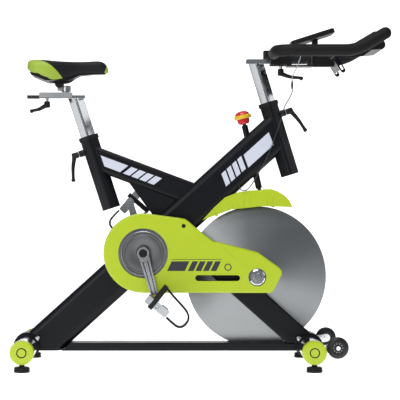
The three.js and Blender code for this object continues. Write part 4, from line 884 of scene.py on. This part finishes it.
# ---------------------------------------------------------------------------------------------
# Flywheel and brake: a turned steel disc on a rotating axle with a domed cap, a felt pad pushed
# down on its rim by the knob's rod, and a ribbed lime green shroud over the pad.

FLY_X, FLY_Z = GUARD_AXLE
steel = Finish("turned_steel", (0.34, 0.35, 0.36), 0.34, 1.0)
x, y, z = steel.axes()
radius = ((x - FLY_X * MM) ** 2.0 + (z - FLY_Z * MM) ** 2.0) ** 0.5
rings = steel.node("ShaderNodeTexNoise", {"noise_dimensions": "1D"},
                   {"W": radius, "Scale": 900.0, "Detail": 3.0}, "Fac")
patches = steel.noise(0.09, 2)
steel.feed("Roughness", rings * 0.16 + patches * 0.08 + 0.24)
steel.feed("Base Color", steel.mix(patches, (0.30, 0.31, 0.32), (0.36, 0.37, 0.38)))
steel.relief(rings, 0.00002)
wheel = [(8.9, -14), (38, -14), (41, -13.4), (44, -10.4), (47, -9), (225.6, -9), (227.4, -8.2),
         (228, -6.6), (228, 6.6), (227.4, 8.2), (225.6, 9), (47, 9), (44, 10.4), (41, 13.4),
         (38, 14), (8.9, 14)]
added("flywheel_disc", turned("flywheel_disc", (FLY_X, 0, FLY_Z), wheel, 200), steel,
      "flywheel_turning", ["flywheel"])
refined("flywheel_shaft", "flywheel_axle", chrome, "flywheel_turning", 0.8, 40)
for side_name in ("left", "right"):
    refined(f"bearing_{side_name}", f"flywheel_bearing_{side_name}", brushed, "frame",
            0.5)
refined("brake_rod_and_pad", "brake_plunger", dull_black, "brake", 0.6)
refined("brake_shroud", "flywheel_shroud", lime, "frame", 2.0, 35)
SHROUD_LOW = [(6, 472), (100, 506), (202, 517), (298, 513.5)]
SHROUD_HIGH = [(6, 472), (42, 511), (79, 545), (118, 561), (160, 568), (231, 572), (273, 551),
               (298, 513.5)]


def height_at(outline, x):
    """The height of an outline at x, along the straight lines between its points."""
    for (x0, z0), (x1, z1) in zip(outline, outline[1:]):
        if x0 <= x <= x1:
            return z0 + (z1 - z0) * (x - x0) / (x1 - x0)


for side_name, side in (("right", -1), ("left", 1)):
    for count in range(12):
        x = 48 + 18.6 * count
        low = height_at(SHROUD_LOW, x) + 4
        high = low + 0.62 * (height_at(SHROUD_HIGH, x) - low)
        rib = [Vector((x, side * 33.8, z)) * MM for z in (low, low + 1.5, high - 3, high)]
        rib_radii = [r * MM for r in (0.6, 1.7, 1.5, 0.3)]
        rib_mesh = swept(f"shroud_rib_{side_name}_{count}", rib, rib_radii, 12)
        added(f"shroud_rib_{side_name}_{count}", rib_mesh, lime, "frame")
    for count, (x, z) in enumerate(((52, 489), (66, 498))):
        head = [(0, 33.8), (4.6, 33.8), (4.6, 34.8), (4, 35.4), (2.2, 35.5), (2, 34.9), (0, 34.9)]
        head = [(r, side * along) for r, along in head]
        added(f"shroud_screw_{side_name}_{count}",
              turned(f"shroud_screw_{side_name}_{count}", (x, 0, z), head, 28), lime, "frame")
KNOB_X, KNOB_Z, KNOB_LEAN, KNOB_RISE = 148.5, 760.5, 13, 24
guide = leaning(KNOB_X, KNOB_Z, KNOB_LEAN)
guide_line = [guide @ (Vector((0, 0, -d)) * MM) for d in (100, 101, 188, 190.5)]
guide_radii = [r * MM for r in (10, 10.6, 10.6, 9.6)]
added("brake_guide_tube", swept("brake_guide_tube", guide_line, guide_radii, 28), black_coat, "frame")

knob_red = grained("knob_red", (0.62, 0.012, 0.016), 0.22, coat=0.4, grain=0.002, depth=0.00001)
knob_yellow = grained("knob_yellow", (0.80, 0.50, 0.02), 0.28, coat=0.3, grain=0.002, depth=0.00001)
knob_place = guide @ Matrix.Translation((0, 0, KNOB_RISE * MM))
for part, finish, profile in (
    ("knob_skirt", knob_red, [(6.4, 0), (14, 0), (15.4, 0.6), (19.4, 6), (20.2, 14), (20.2, 17),
                              (6.4, 17)]),
    ("knob_ring", knob_yellow, [(6.4, 17.2), (25, 17.2), (27.6, 19), (28.4, 22), (28.2, 26),
                                (26.6, 29.6), (24, 31), (6.4, 31)]),
    ("knob_dome", knob_red, [(0, 31.2), (23.4, 31.2), (23.6, 33), (21.6, 37), (17, 40.6),
                             (11, 43), (5, 43.8), (0, 44)]),
):
    mesh = turned(part, (0, 0, 0), profile, 72, "Z")
    mesh.transform(knob_place)
    added(part, mesh, finish, "knob", ["resistance_knob"])
